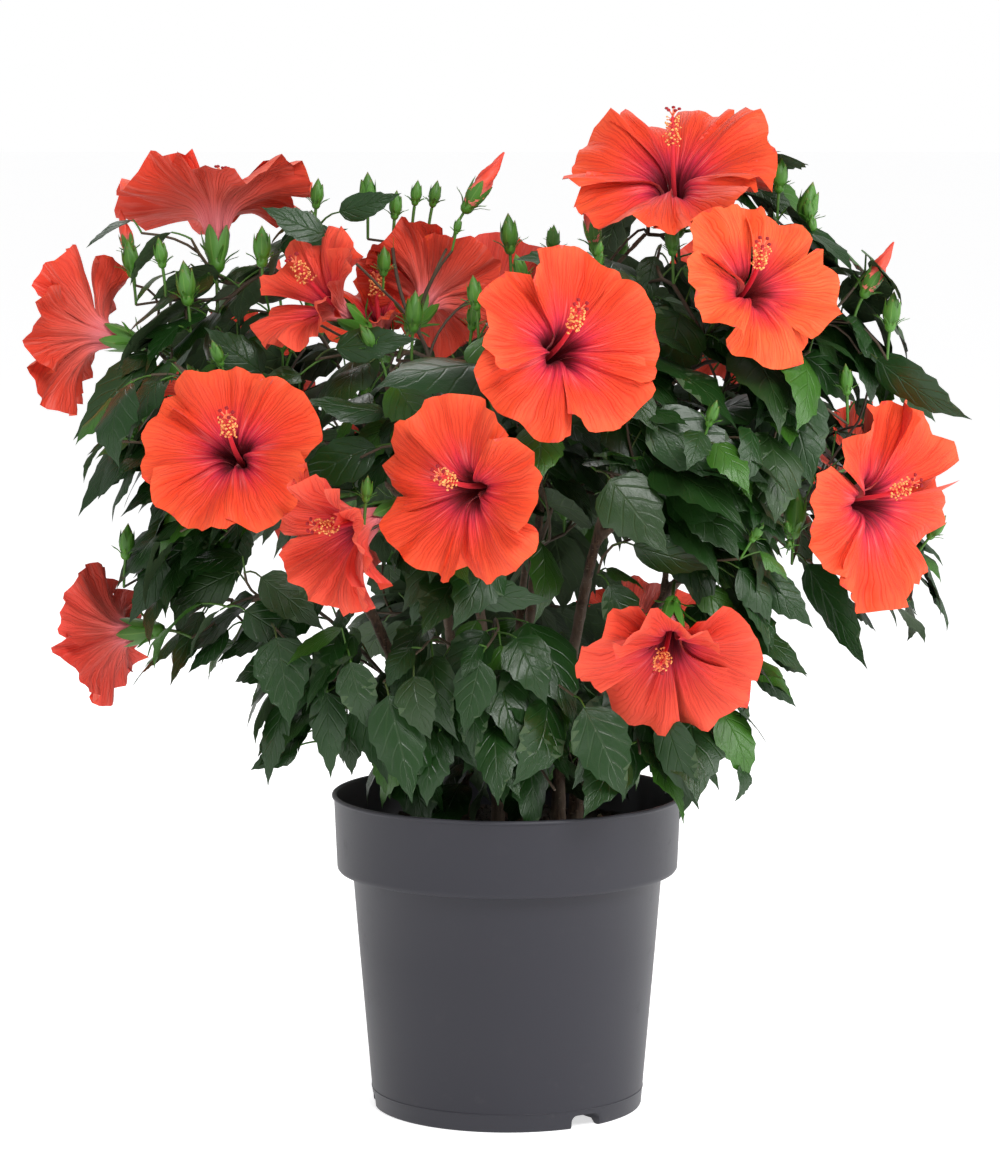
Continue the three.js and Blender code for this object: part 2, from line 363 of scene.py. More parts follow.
@functools.cache
def petal_material():
    """Row 0 and 1 of the pattern are faces, row 2 and 3 backs, and each column has its tint."""
    shade = Shade("petal")
    look = colours()
    column, row, across, along = shade.tiles()
    orange = column.over(2.5)
    back = row.over(1.5)
    streaks = shade.noise(shade.vector(across * 9 + column * 5, along * 1.1 + row), 1.0, 3.0, 0.6)
    fibres = shade.noise(shade.vector(across * 22 + column, along * 2.6 + row), 1.0, 2.0)
    sway = shade.noise(shade.vector(across * 2.4 + column, along * 3.2 + row), 1.0, 2.0) * 2.2
    crinkle = shade.noise(shade.vector(across * 5 + column, along * 6 + row), 1.0, 4.0)
    ray = along + (streaks - 0.5) * 0.28
    front = shade.stops(ray, [
        (0, 0, look.petal_eye),
        (0.33, 0.42, EYE_WINE),
        (0.39, 0.49, EYE_ROSE),
        (0.45, 0.58, EYE_CORAL),
        (0.54, 0.76, shade.mix(orange, look.petal, look.petal_orange)),
        (0.78, 1.0, shade.mix(orange, look.petal_edge, look.petal_orange)),
    ])
    glow = line(shade, along - 0.53, 0.15) * shade.rise(streaks, 0.54, 0.68)
    front = shade.mix(glow * 0.30, front, GLOW_PINK)
    ribs = line(shade, (across * 8 + sway).fraction() - 0.5, 0.12)
    forks = line(shade, (across * 17 + sway * 1.7).fraction() - 0.5, 0.17)
    veins = (ribs + forks * shade.rise(along, 0.42, 0.62) * 0.7).limit()
    veins = veins * (1 - shade.rise(along, 0.82, 1.0) * 0.6)
    front = shade.mix(veins * 0.36, front, VEIN_RED)
    # Painted shade: the face darkens to a deeper red where the crinkle relief rises.
    front = shade.mix(shade.rise(crinkle, 0.45, 0.75) * 0.25, front, PAINTED_SHADE_RED)
    reverse = shade.stops(along, [
        (0, 0, BACK_FOOT_PINK),
        (0.22, 0.52, BACK_CORAL),
        (0.46, 0.82, look.petal_back),
    ])
    reverse = shade.mix(shade.rise(fibres, 0.50, 0.70) * 0.22, reverse, BACK_FIBRE_PINK)
    reverse = shade.mix(veins * 0.34, reverse, BACK_VEIN_RED)
    base = shade.mix(back, front, reverse)
    base = shade.mix(column * 0.05, base, look.petal_edge)
    base = shade.mix((1 - column).limit() * 0.30 * along, base, FLUSH_PINK)
    roughness = 0.50 + crinkle * 0.14
    height = crinkle * 1.1 + streaks * 0.7 - veins * 0.35
    fixed = {"Sheen Weight": 0.03, "Specular IOR Level": 0.25}
    return shade.finish(base, roughness, height, 0.8, 1.4 * MM, **fixed)


@functools.cache
def green_material():
    """Calyxes and closed buds, ribbed, with browned tips."""
    shade = Shade("bud_green")
    look = colours()
    column, row, across, along = shade.tiles()
    chance = shade.chance(shade.vector(column, row, 0.7))
    grain = shade.noise(shade.vector(across * 3 + column, along * 3 + row), 2.0, 3.0)
    rib = line(shade, across, 0.16)
    base = shade.mix(chance * 0.6, look.green, shade.mix(0.6, look.green, look.leaf))
    base = shade.mix(rib * 0.35 + grain * 0.15, base, (0.20, 0.36, 0.07))
    base = shade.mix(shade.rise(along, 0.86, 1.0) * 0.5, base, (0.25, 0.12, 0.05))
    return shade.finish(base, 0.42 + grain * 0.15, grain + rib, 0.3, 0.4 * MM)


@functools.cache
def rolled_petal_material():
    """The rolled petals of a bud that is about to open, wound with darker edges."""
    shade = Shade("rolled_petal")
    look = colours()
    column, row, across, along = shade.tiles()
    streaks = shade.noise(shade.vector(across * 7 + column * 3, along * 1.6 + row), 1.0, 3.0)
    edge = line(shade, (across * 1.5 + along * 1.2).fraction() - 0.5, 0.14)
    base = shade.mix(shade.rise(streaks, 0.4, 0.65), look.petal_back, look.petal)
    base = shade.mix(edge * 0.6, base, (0.42, 0.02, 0.02))
    base = shade.mix((1 - shade.rise(along, 0.15, 0.6)) * 0.5, base, (0.82, 0.34, 0.28))
    return shade.finish(base, 0.45 + streaks * 0.15, streaks - edge, 0.4, 0.5 * MM)


def speckled(name, light, dark, roughness, **fixed):
    """A material for tiny parts, each dealt a tint between two colours by its cell."""
    shade = Shade(name)
    column, row, across, along = shade.tiles()
    chance = shade.chance(shade.vector(column, row, 0.9))
    grain = shade.noise(shade.vector(across * 2 + column, along * 4 + row), 2.0, 3.0)
    base = shade.mix((chance * 0.7 + grain * 0.4).limit(), light, dark)
    return shade.finish(base, roughness + grain * 0.12, grain, 0.3, 0.3 * MM, **fixed)


@functools.cache
def bark_material():
    """Long fibres, grey patches and pale pores."""
    shade = Shade("bark")
    look = colours()
    place = shade.place()
    x, y, z = shade.axes(place)
    fibre = shade.noise(shade.vector(x, y, z * 0.22), 620.0, 5.0, 0.6)
    patch = shade.noise(place, 46.0, 3.0)
    lenticel = shade.rise(shade.noise(shade.vector(x, y, z * 2.2), 330.0, 1.0), 0.66, 0.72)
    base = shade.mix(shade.rise(fibre, 0.3, 0.7), shade.mix(0.75, look.bark, (0, 0, 0)), look.bark)
    base = shade.mix(shade.rise(patch, 0.42, 0.62) * 0.55, base, (0.20, 0.15, 0.11))
    base = shade.mix(lenticel * 0.5, base, (0.30, 0.22, 0.15))
    return shade.finish(base, 0.72 + fibre * 0.2, fibre + lenticel * 0.6, 0.7, 0.8 * MM)


@functools.cache
def pot_material():
    """Grey plastic with dust, a mould line near the foot, a painted rim highlight and painted shade inside.
    """
    shade = Shade("pot_plastic")
    look = colours()
    place = shade.place()
    x, y, z = shade.axes(place)
    rim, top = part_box("pot")[1][0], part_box("pot")[1][2]
    cloud = shade.noise(place, 11.0, 3.0)
    grain = shade.noise(place, 900.0, 2.0)
    drawn = shade.noise(shade.vector(x * 0.06, y * 0.06, z), 420.0, 3.0)
    dust = shade.rise(shade.noise(place, 55.0, 5.0, 0.7), 0.56, 0.80)
    foot = 1 - shade.rise(z, 0.0, 0.05)
    seam = line(shade, z - 0.0125, 0.0006)
    base = shade.mix(cloud * 0.35, look.pot, shade.mix(0.4, look.pot, (0.02, 0.02, 0.036)))
    base = shade.mix(dust * 0.08 + foot * dust * 0.20, base, (0.11, 0.10, 0.10))
    # Painted highlight: the top of the rim is lightened towards a paler grey.
    base = shade.mix(shade.rise(z, top - 0.0022, top - 0.0008) * 0.3, base, (0.08, 0.08, 0.09))
    # Painted shade: inside the wall and above 0.2 m the plastic is darkened almost to black.
    reach = (x * x + y * y) ** 0.5
    inner = (1 - shade.rise(reach, rim - 0.0060, rim - 0.0045)) * shade.rise(z, 0.20, 0.205)
    base = shade.mix(inner * 0.7, base, (0.007, 0.007, 0.007))
    roughness = 0.40 + cloud * 0.08 + dust * 0.12 + grain * 0.04
    height = grain * 0.25 + drawn * 0.35 + seam * 1.5
    return shade.finish(base, roughness, height, 0.22, 0.5 * MM, **{"Specular IOR Level": 0.32})


@functools.cache
def soil_material():
    """Dark, moist compost with pale flecks."""
    shade = Shade("compost")
    look = colours()
    place = shade.place()
    crumb = shade.noise(place, 260.0, 6.0, 0.7)
    fleck = shade.rise(shade.noise(place, 480.0, 1.0), 0.70, 0.74)
    base = shade.mix(shade.rise(crumb, 0.35, 0.7), look.soil, (0.045, 0.030, 0.020))
    base = shade.mix(fleck * 0.5, base, (0.22, 0.18, 0.13))
    return shade.finish(base, 0.85 + crumb * 0.1, crumb, 0.9, 2.0 * MM)


# ---- mesh building ------------------------------------------------------------------------

class Cloud:
    """Gathers many small sheets and tubes into one mesh with one pattern map."""

    def __init__(self):
        self.points = []
        self.faces = {3: [], 4: []}
        self.maps = {3: [], 4: []}
        self.count = 0

    def add_faces(self, faces, spots, tile):
        """faces index the points added last, and spots are their places in the tile, 0 to 1."""
        sides = faces.shape[-1]
        room = 1 - 2 * TILE_MARGIN
        spots = np.clip(spots, 0, 1) * room + TILE_MARGIN
        self.faces[sides].append(faces.reshape(-1, sides) + self.count)
        self.maps[sides].append((spots.reshape(-1, sides, 2) + np.array(tile)) / TILES)

    def sheet(self, points, tile, across=None, around=False):
        """A grid of quads, rows along and columns across; a tube where around is set."""
        rows, columns = points.shape[:2]
        spans = columns if around else columns - 1
        row, column = np.meshgrid(np.arange(rows - 1), np.arange(spans), indexing="ij")
        following = (column + 1) % columns
        faces = np.stack([
            row * columns + column, row * columns + following,
            (row + 1) * columns + following, (row + 1) * columns + column], axis=-1)
        if across is None:
            across = np.tile(np.linspace(0, 1, spans + 1), (rows, 1))
        along = np.linspace(0, 1, rows)
        corner = [(0, 0), (0, 1), (1, 1), (1, 0)]
        spots = np.stack([
            np.stack([across[row + down, column + right], along[row + down]], axis=-1)
            for down, right in corner], axis=-2)
        self.add_faces(faces, spots, tile)
        self.points.append(points.reshape(-1, 3))
        self.count += rows * columns

    def cap(self, ring, tip, tile):
        """A fan that closes a ring of points to its tip."""
        sides = len(ring)
        start = np.arange(sides)
        faces = np.stack([start, (start + 1) % sides, np.full(sides, sides)], axis=-1)
        self.add_faces(faces, np.full((sides, 3, 2), 0.5), tile)
        self.points.append(np.vstack([ring, tip[None]]))
        self.count += sides + 1

    def build(self, name, material):
        mesh = bpy.data.meshes.new(name)
        points = np.vstack(self.points)
        faces = [np.vstack(self.faces[sides]) for sides in (3, 4) if self.faces[sides]]
        spots = [np.vstack(self.maps[sides]) for sides in (3, 4) if self.faces[sides]]
        loops = np.concatenate([block.ravel() for block in faces])
        lengths = np.concatenate([np.full(len(block), block.shape[1]) for block in faces])
        mesh.vertices.add(len(points))
        mesh.vertices.foreach_set("co", points.ravel())
        mesh.loops.add(len(loops))
        mesh.loops.foreach_set("vertex_index", loops)
        mesh.polygons.add(len(lengths))
        mesh.polygons.foreach_set("loop_start", np.concatenate([[0], np.cumsum(lengths)[:-1]]))
        layer = mesh.uv_layers.new(name=PATTERN_UV)
        layer.data.foreach_set("uv", np.concatenate([block.reshape(-1) for block in spots]))
        mesh.polygons.foreach_set("use_smooth", np.ones(len(lengths), dtype=bool))
        mesh.update(calc_edges=True)
        mesh.validate()
        piece = bpy.data.objects.new(name, mesh)
        bpy.context.scene.collection.objects.link(piece)
        piece.data.materials.append(material)
        return piece


def declare(piece, slot, *nodes):
    """Every finished piece rides on the one body, and the solids it replaces are hidden; slot is not used.
    """
    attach(piece, BODY)
    if nodes:
        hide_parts(*nodes)


def unit(vector):
    return vector / max(float(np.linalg.norm(vector)), 1e-9)


def basis(forward, upward):
    """Columns across, along and out, for a shape that points along forward with its face up."""
    along = unit(forward)
    across = unit(np.cross(along, upward))
    return np.stack([across, along, np.cross(across, along)], axis=1)


def smooth_rise(value, low, high):
    share = np.clip((value - low) / (high - low), 0, 1)
    return share * share * (3 - 2 * share)


def curve_points(start, middle, end, steps):
    """Points of a quadratic curve."""
    share = np.linspace(0, 1, steps + 1)[:, None]
    return start * (1 - share) ** 2 + middle * 2 * share * (1 - share) + end * share ** 2


def tube(cloud, path, radii, sides, tile, closed_tip=True):
    """A round tube along a path, closed to a point at its tip."""
    path = np.asarray(path)
    tangents = np.gradient(path, axis=0)
    normal = unit(np.cross(tangents[0], (0.31, 0.17, 0.93)))
    turns = np.arange(sides) * math.tau / sides
    rings = []
    for point, tangent, radius in zip(path, tangents, radii):
        tangent = unit(tangent)
        normal = unit(normal - tangent * float(normal @ tangent))
        other = np.cross(tangent, normal)
        rings.append(point + radius * (np.outer(np.cos(turns), normal) + np.outer(np.sin(turns), other)))
    cloud.sheet(np.array(rings), tile, around=True)
    if closed_tip:
        cloud.cap(rings[-1], path[-1] + unit(tangents[-1]) * radii[-1], tile)


def spindle(cloud, origin, axes, heights, radii, tile, roll=0.0, sides=8):
    """A round or ridged body along the third axis; radii are given by height, or also by side."""
    turns = np.arange(sides) * math.tau / sides + np.reshape(roll, (-1, 1))
    radii = np.reshape(radii, (len(heights), -1)) * np.ones(sides)
    level = np.repeat(np.reshape(heights, (-1, 1)), sides, axis=1)
    points = np.stack([radii * np.cos(turns), radii * np.sin(turns), level], axis=-1)
    placed = origin + points @ axes.T
    cloud.sheet(placed, tile, around=True)
    cloud.cap(placed[-1], placed[-1].mean(axis=0) + axes[:, 2] * 0.4 * MM, tile)


# ---- the plant's plan ---------------------------------------------------------------------

# One blossom: the mass it grows from, the middle of its face as shares of that mass's box,
# which way it faces (turned from the front towards the right, tilted up, in degrees), its
# width, how far its petals are folded forward, the turn of its petals, its tint, the length of
# its stamen column as a share of its radius, and half the angle that each petal covers.
Blossom = namedtuple("Blossom", "mass place facing width fold roll tint column lobe",
                     defaults=(1.2, 44))

BLOSSOMS = [
    Blossom("top_right", (0.385, 0.34, 0.52), (-9, 52), 0.136, 0.10, 18, 1, 1.2, 43),
    Blossom("right_upper", (0.41, 0.21, 0.61), (31, 28), 0.109, 0.02, 50, 3, 1.2, 41),
    Blossom("centre_right", (0.435, 0.22, 0.53), (26, 20), 0.118, 0.03, 8, 1),
    Blossom("centre_front", (0.71, 0.20, 0.60), (-30, -2), 0.113, 0.06, 14, 2, 1.15, 42),
    Blossom("left_front", (0.66, 0.15, 0.53), (-12, 22), 0.110, 0.05, 30, 1),
    Blossom("centre_front", (0.265, 0.40, 0.41), (-56, -20), 0.118, 0.45, 0, 0, 1.0, 41),
    Blossom("far_right", (0.44, 0.27, 0.54), (46, 0), 0.134, 0.08, 40, 1, 1.10, 41),
    Blossom("foot_right", (0.41, 0.18, 0.755), (-6, -41), 0.120, 0.22, 10, 0, 1.0, 52),
    Blossom("top_left", (0.47, 0.56, 0.59), (-174, 68), 0.128, 0.06, 25, 2, 0.9, 44),
    Blossom("far_left", (0.39, 0.60, 0.45), (-114, 10), 0.116, 0.26, 5, 1, 1.1, 43),
    Blossom("left_low", (0.30, 0.45, 0.46), (-118, -6), 0.097, 0.20, 35, 0, 0.7),
    Blossom("top_middle", (0.24, 0.18, 0.36), (-54, 30), 0.104, 0.42, 15, 0, 1.2, 41),
    Blossom("top_middle", (0.655, 0.55, 0.35), (156, 34), 0.102, 0.10, 0, 2),
    Blossom("top_middle", (0.44, 0.62, 0.26), (-30, 62), 0.084, 0.34, 30, 1),
    Blossom("back_left", (0.30, 0.76, 0.54), (196, 18), 0.118, 0.04, 12, 1, 1.0),
    Blossom("back_left", (0.66, 0.78, 0.18), (198, -10), 0.106, 0.12, 44, 0, 1.0),
    Blossom("back_right", (0.56, 0.76, 0.84), (164, 22), 0.122, 0.03, 30, 2, 1.0),
    Blossom("back_right", (0.93, 0.70, 0.24), (128, 6), 0.108, 0.08, 4, 3, 1.0),
    Blossom("back_middle", (0.48, 0.66, 0.52), (182, 4), 0.116, 0.06, 22, 1, 0.9),
    Blossom("back_top", (0.42, 0.64, 0.56), (176, 30), 0.120, 0.08, 38, 0, 1.0),
    Blossom("back_low", (0.86, 0.80, 0.50), (172, -14), 0.106, 0.16, 16, 2, 0.9),
]
FRONT_BLOSSOMS = 13            # the first of them stand free towards the front

# One bud that stands out of the crown: its mass, the place of its base, how far it leans to the
# right in degrees, its length, and whether the petals already show.
Bud = namedtuple("Bud", "mass place lean length coloured")

BUDS = [
    Bud("top_middle", (0.81, 0.49, 0.77), 34, 0.044, True),
    Bud("top_right", (0.08, 0.38, 0.09), -7, 0.038, True),
    Bud("right_upper", (0.85, 0.44, 0.58), 29, 0.038, True),
    Bud("top_right", (0.75, 0.73, 0.66), 6, 0.028, True),
    Bud("far_left", (0.62, 0.73, 0.90), -12, 0.030, True),
    Bud("top_middle", (0.17, 0.43, 0.42), 0, 0.026, True),
    Bud("top_middle", (0.41, 0.61, 0.77), 0, 0.023, False),
    Bud("top_middle", (0.52, 0.52, 0.73), 5, 0.017, False),
    Bud("top_middle", (0.60, 0.58, 0.79), 8, 0.015, False),
    Bud("top_middle", (0.67, 0.67, 0.78), 12, 0.016, False),
    Bud("top_middle", (0.98, 0.67, 0.57), -3, 0.024, False),
    Bud("top_left", (0.37, 0.12, 0.04), -6, 0.026, False),
    Bud("top_left", (0.24, 0.24, 0.26), -8, 0.018, False),
    Bud("top_left", (0.72, 0.18, 0.28), 0, 0.024, False),
    Bud("top_left", (0.08, 0.42, 0.19), -8, 0.023, False),
    Bud("top_left", (0.96, 0.54, 0.63), 5, 0.018, False),
    Bud("top_right", (0.81, 0.44, 0.47), 4, 0.021, False),
    Bud("top_right", (0.91, 0.44, 0.24), 12, 0.028, False),
    Bud("right_upper", (0.94, 0.38, 0.42), 6, 0.023, False),
    Bud("right_upper", (0.78, 0.38, 0.10), -3, 0.018, False),
    Bud("far_right", (0.02, 0.14, 0.46), 4, 0.030, False),
    Bud("left_low", (0.38, 0.22, 0.98), 5, 0.021, False),
    Bud("centre_right", (0.04, 0.65, 0.71), -6, 0.020, False),
    Bud("centre_right", (0.02, 0.78, 0.60), 8, 0.018, False),
    Bud("top_middle", (0.60, 0.13, 0.24), 4, 0.024, False),
    Bud("right_upper", (0.13, 0.50, 0.78), -2, 0.019, False),
    Bud("centre_right", (0.74, 0.59, 0.06), 8, 0.021, False),
    Bud("top_middle", (0.45, 0.04, 0.15), -31, 0.018, False),
    Bud("centre_front", (0.34, 0.35, 0.55), 5, 0.015, False),
    Bud("back_left", (0.45, 0.72, 0.94), -8, 0.034, True),
    Bud("back_right", (0.40, 0.80, 0.92), 10, 0.036, True),
    Bud("back_middle", (0.80, 0.84, 0.80), 12, 0.030, True),
]


# One of the large leaves at the outside of the crown: its mass, the place of its foot, which way
# it points as seen from the front (0 to the right, -90 down), how broad it looks from there as
# a share of its length, and its length.
LargeLeaf = namedtuple("LargeLeaf", "mass place way breadth length")

LARGE_LEAVES = [
    LargeLeaf("far_left", (0.80, 0.25, 0.35), -139, 0.38, 0.080),
    LargeLeaf("left_front", (0.25, 0.70, 0.60), -134, 0.36, 0.072),
    LargeLeaf("left_front", (0.25, 0.90, 0.65), -150, 0.34, 0.048),
    LargeLeaf("left_front", (0.45, 0.85, 0.05), -98, 0.45, 0.064),
    LargeLeaf("left_front", (0.50, 0.80, 0.10), -145, 0.60, 0.046),
    LargeLeaf("left_low", (0.80, 0.40, 0.60), -119, 0.36, 0.056),
    LargeLeaf("left_low", (0.95, 0.30, 0.50), -136, 0.36, 0.040),
    LargeLeaf("left_low", (0.60, 0.20, 0.95), -118, 0.42, 0.050),
    LargeLeaf("foot_left", (0.05, 0.30, 0.80), -30, 0.55, 0.050),
    LargeLeaf("foot_left", (0.15, 0.25, 0.95), -35, 0.50, 0.055),
    LargeLeaf("foot_left", (0.25, 0.15, 0.70), -76, 0.62, 0.060),
    LargeLeaf("foot_left", (0.30, 0.30, 0.40), -115, 0.32, 0.058),
    LargeLeaf("foot_left", (0.55, 0.25, 0.45), -88, 0.42, 0.058),
    LargeLeaf("foot_left", (0.70, 0.10, 0.60), -77, 0.54, 0.048),
    LargeLeaf("foot_left", (0.75, 0.40, 0.40), -70, 0.45, 0.060),
    LargeLeaf("foot_front", (0.05, 0.10, 0.60), -75, 0.52, 0.072),
    LargeLeaf("foot_front", (0.45, 0.05, 0.75), -105, 0.55, 0.050),
    LargeLeaf("centre_front", (0.70, 0.60, 0.15), -8, 0.34, 0.056),
    LargeLeaf("top_left", (0.80, 0.30, 0.35), 20, 0.45, 0.048),
    LargeLeaf("top_middle", (0.25, 0.25, 0.65), 155, 0.45, 0.046),
    LargeLeaf("top_middle", (0.30, 0.45, 0.75), 12, 0.40, 0.044),
    LargeLeaf("left_front", (0.75, 0.75, 0.85), 141, 0.55, 0.050),
    LargeLeaf("top_middle", (0.30, 0.05, 0.15), 10, 0.42, 0.056),
    LargeLeaf("centre_front", (0.40, 0.90, 0.85), 170, 0.34, 0.058),
    LargeLeaf("right_front", (0.20, 0.25, 0.85), -24, 0.44, 0.092),
    LargeLeaf("right_front", (0.05, 0.20, 0.60), -51, 0.68, 0.062),
    LargeLeaf("right_front", (0.15, 0.35, 0.30), -19, 0.38, 0.060),
    LargeLeaf("right_front", (0.05, 0.40, 0.12), -60, 0.50, 0.050),
    LargeLeaf("right_upper", (0.55, 0.30, 0.10), -70, 0.72, 0.064),
    LargeLeaf("right_front", (0.70, 0.50, 0.15), -43, 0.50, 0.048),
    LargeLeaf("far_right", (0.10, 0.25, 0.35), -59, 0.27, 0.082),
    LargeLeaf("foot_right", (0.65, 0.60, 0.90), -44, 0.62, 0.048),
    LargeLeaf("foot_right", (0.80, 0.80, 0.60), -41, 0.40, 0.038),
    LargeLeaf("right_upper", (0.90, 0.50, 0.25), -41, 0.27, 0.076),
    LargeLeaf("foot_right", (0.40, 0.35, 0.45), -74, 0.38, 0.066),
    LargeLeaf("foot_right", (0.50, 0.65, 0.50), -67, 0.46, 0.042),
    LargeLeaf("foot_front", (0.90, 0.10, 0.55), -61, 0.58, 0.066),
    LargeLeaf("right_upper", (0.30, 0.40, 0.35), -36, 0.60, 0.036),
    LargeLeaf("top_right", (0.70, 0.55, 0.50), -36, 0.42, 0.042),
    LargeLeaf("left_front", (0.64, 0.85, 0.16), -95, 0.50, 0.042),
    LargeLeaf("left_front", (0.56, 0.90, 0.12), -118, 0.43, 0.036),
    LargeLeaf("right_upper", (0.07, 0.65, 0.75), -108, 0.49, 0.038),
    LargeLeaf("right_upper", (0.12, 0.70, 0.71), -66, 0.47, 0.036),
    LargeLeaf("right_upper", (0.05, 0.62, 0.53), -64, 0.61, 0.040),
    LargeLeaf("foot_left", (0.66, 0.50, 0.32), -85, 0.50, 0.042),
]
NARROWEST = 0.42               # the least true breadth; a leaf that looks narrower is rolled


def facing(turn, tilt):
    turn, tilt = math.radians(turn), math.radians(tilt)
    level = math.cos(tilt)
    return np.array([math.sin(turn) * level, -math.cos(turn) * level, math.sin(tilt)])


def place_in(node, share):
    low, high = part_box(node)
    return np.array(low) + np.array(share) * (np.array(high) - np.array(low))


def large_leaf_frame(leaf):
    """The foot, direction and face of one of the large leaves."""
    turn = math.radians(leaf.way)
    roll = math.acos(min(1.0, leaf.breadth / NARROWEST))
    foot = place_in("foliage_" + leaf.mass, leaf.place)
    way = unit(np.array([math.cos(turn), -0.22, math.sin(turn)]))
    axes = basis(way, np.array([0.0, -1.0, 0.35]))
    face = axes[:, 2] * math.cos(roll) + axes[:, 0] * math.sin(roll)
    return foot, way, face


def world_points(node):
    mesh = bpy.data.objects[node].data
    points = np.empty(len(mesh.vertices) * 3)
    mesh.vertices.foreach_get("co", points)
    return points.reshape(-1, 3)


def node_tree(nodes):
    """A search tree over the faces of the named solids."""
    points, faces = [], []
    for node in nodes:
        mesh = bpy.data.objects[node].data
        start = len(points)
        points.extend(vertex.co.copy() for vertex in mesh.vertices)
        faces.extend([start + index for index in face.vertices] for face in mesh.polygons)
    return BVHTree.FromPolygons(points, faces)


def depth_in(tree, point):
    """How deep a point lies inside a closed solid; negative outside."""
    near, normal, _, distance = tree.find_nearest(Vector(point))
    inside = (Vector(point) - near).dot(normal) < 0
    return distance if inside else -distance


def names(start):
    return [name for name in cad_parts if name.startswith(start)]


@functools.cache
def blossom_frames():
    """For each blossom: its base, the basis of its petals, and its radius."""
    frames = []
    for blossom in BLOSSOMS:
        out = facing(*blossom.facing)
        side = unit(np.cross((0.0, 0.0, 1.0), out))
        up = np.cross(out, side)
        radius = blossom.width / 2
        face = place_in("foliage_" + blossom.mass, blossom.place)
        base = face - out * radius * (0.55 + 0.35 * blossom.fold)
        frames.append((base, np.stack([side, up, out], axis=1), radius))
    return frames


class Clearance:
    """Says where a shoot or leaf may not be: in or before a blossom, in the pot, or outside."""

    REACH = 0.007              # how far a leaf may stand out of the masses
    LOW_GROWTH = 0.060         # up to here above the rim, leaves may sit between the stems
    WALL_ROOM = 0.012          # kept free inside the pot's rim
    RIM_ROOM = 0.004           # kept free above the rim, outside it and above the compost
    CUP_ROOM = 0.015           # kept free round the base of a blossom
    HANGING_SIDE = 0.6         # leaves hang past the rim only this far to the right, in rims

    def __init__(self):
        self.trees = []
        for node in names("foliage_"):
            low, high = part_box(node)
            self.trees.append((np.array(low), np.array(high), node_tree([node])))
        self.pot_high = np.array(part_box("pot")[1])
        self.soil = float(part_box("root_ball")[1][2])
        self.blossoms = blossom_frames()

    def covered(self, point):
        """In or near a mass of foliage, or among the stems just above the pot."""
        if (math.hypot(point[0], point[1]) < self.pot_high[0] - self.WALL_ROOM
                and point[2] < self.pot_high[2] + self.LOW_GROWTH):
            return True
        for low, high, tree in self.trees:
            if np.all(point > low - self.REACH) and np.all(point < high + self.REACH):
                if depth_in(tree, point) > -self.REACH:
                    return True
        return False

    def clear_of_pot(self, point):
        if point[2] > self.pot_high[2] + self.RIM_ROOM:
            return True
        radius = math.hypot(point[0], point[1])
        rim = self.pot_high[0]
        if radius > rim + self.RIM_ROOM:
            return point[0] > rim * self.HANGING_SIDE
        return radius < rim - self.WALL_ROOM and point[2] > self.soil + self.RIM_ROOM

    def clear_of_petals(self, points):
        """No point in a blossom's bowl, or close before it."""
        for base, axes, radius in self.blossoms:
            local = (points - base) @ axes / radius
            level = np.hypot(local[:, 0], local[:, 1])
            height = local[:, 2]
            if np.any((height > 0.05) & (height < 1.3) & (level < 0.2 + 1.1 * height)
                      & (level < 1.15)):
                return False
            if np.any((height >= 0.3) & (height < 2.3) & (level < 0.95)):
                return False
        return True

    def clear_to_front(self, points):
        """No point before a blossom or its cup where those stand free towards the front."""
        for base, axes, radius in self.blossoms[:FRONT_BLOSSOMS]:
            turned_away = axes[1, 2] > -0.05
            middle = base + axes[:, 2] * radius * (0.8 if turned_away else 0.5)
            away = points - middle
            before = points[:, 1] < middle[1] + 0.01
            free = radius * (0.62 if turned_away else 0.78)
            if np.any(before & (np.hypot(away[:, 0], away[:, 2]) < free)):
                return False
            if np.any(np.linalg.norm(points - base, axis=1) < self.CUP_ROOM):
                return False
        return True

    def allows(self, points):
        return (all(self.clear_of_pot(point) for point in points)
                and self.clear_of_petals(points)
                and self.clear_to_front(points)
                and self.covered(points[-1]))


@functools.cache
def clearance():
    return Clearance()


# ---- the branching rule -------------------------------------------------------------------

STEP = 0.011                   # the length of wood between two joints
BLOSSOM_STALK = 0.030          # from a blossom's base back to the end of its shoot
BUD_STALK = 0.016
LEAF_STALK = 0.014
STALK_DROP = 0.006             # the ends of shoots lie this far below what they hold
SHOOT_DEPTH = 0.013            # seeded shoots end at least this deep inside their mass
MOST_TRIES = 900
LOW_SHOOTS = 4                 # on each stem, just above the compost
LOW_SHOOT_RADIUS = 0.0016


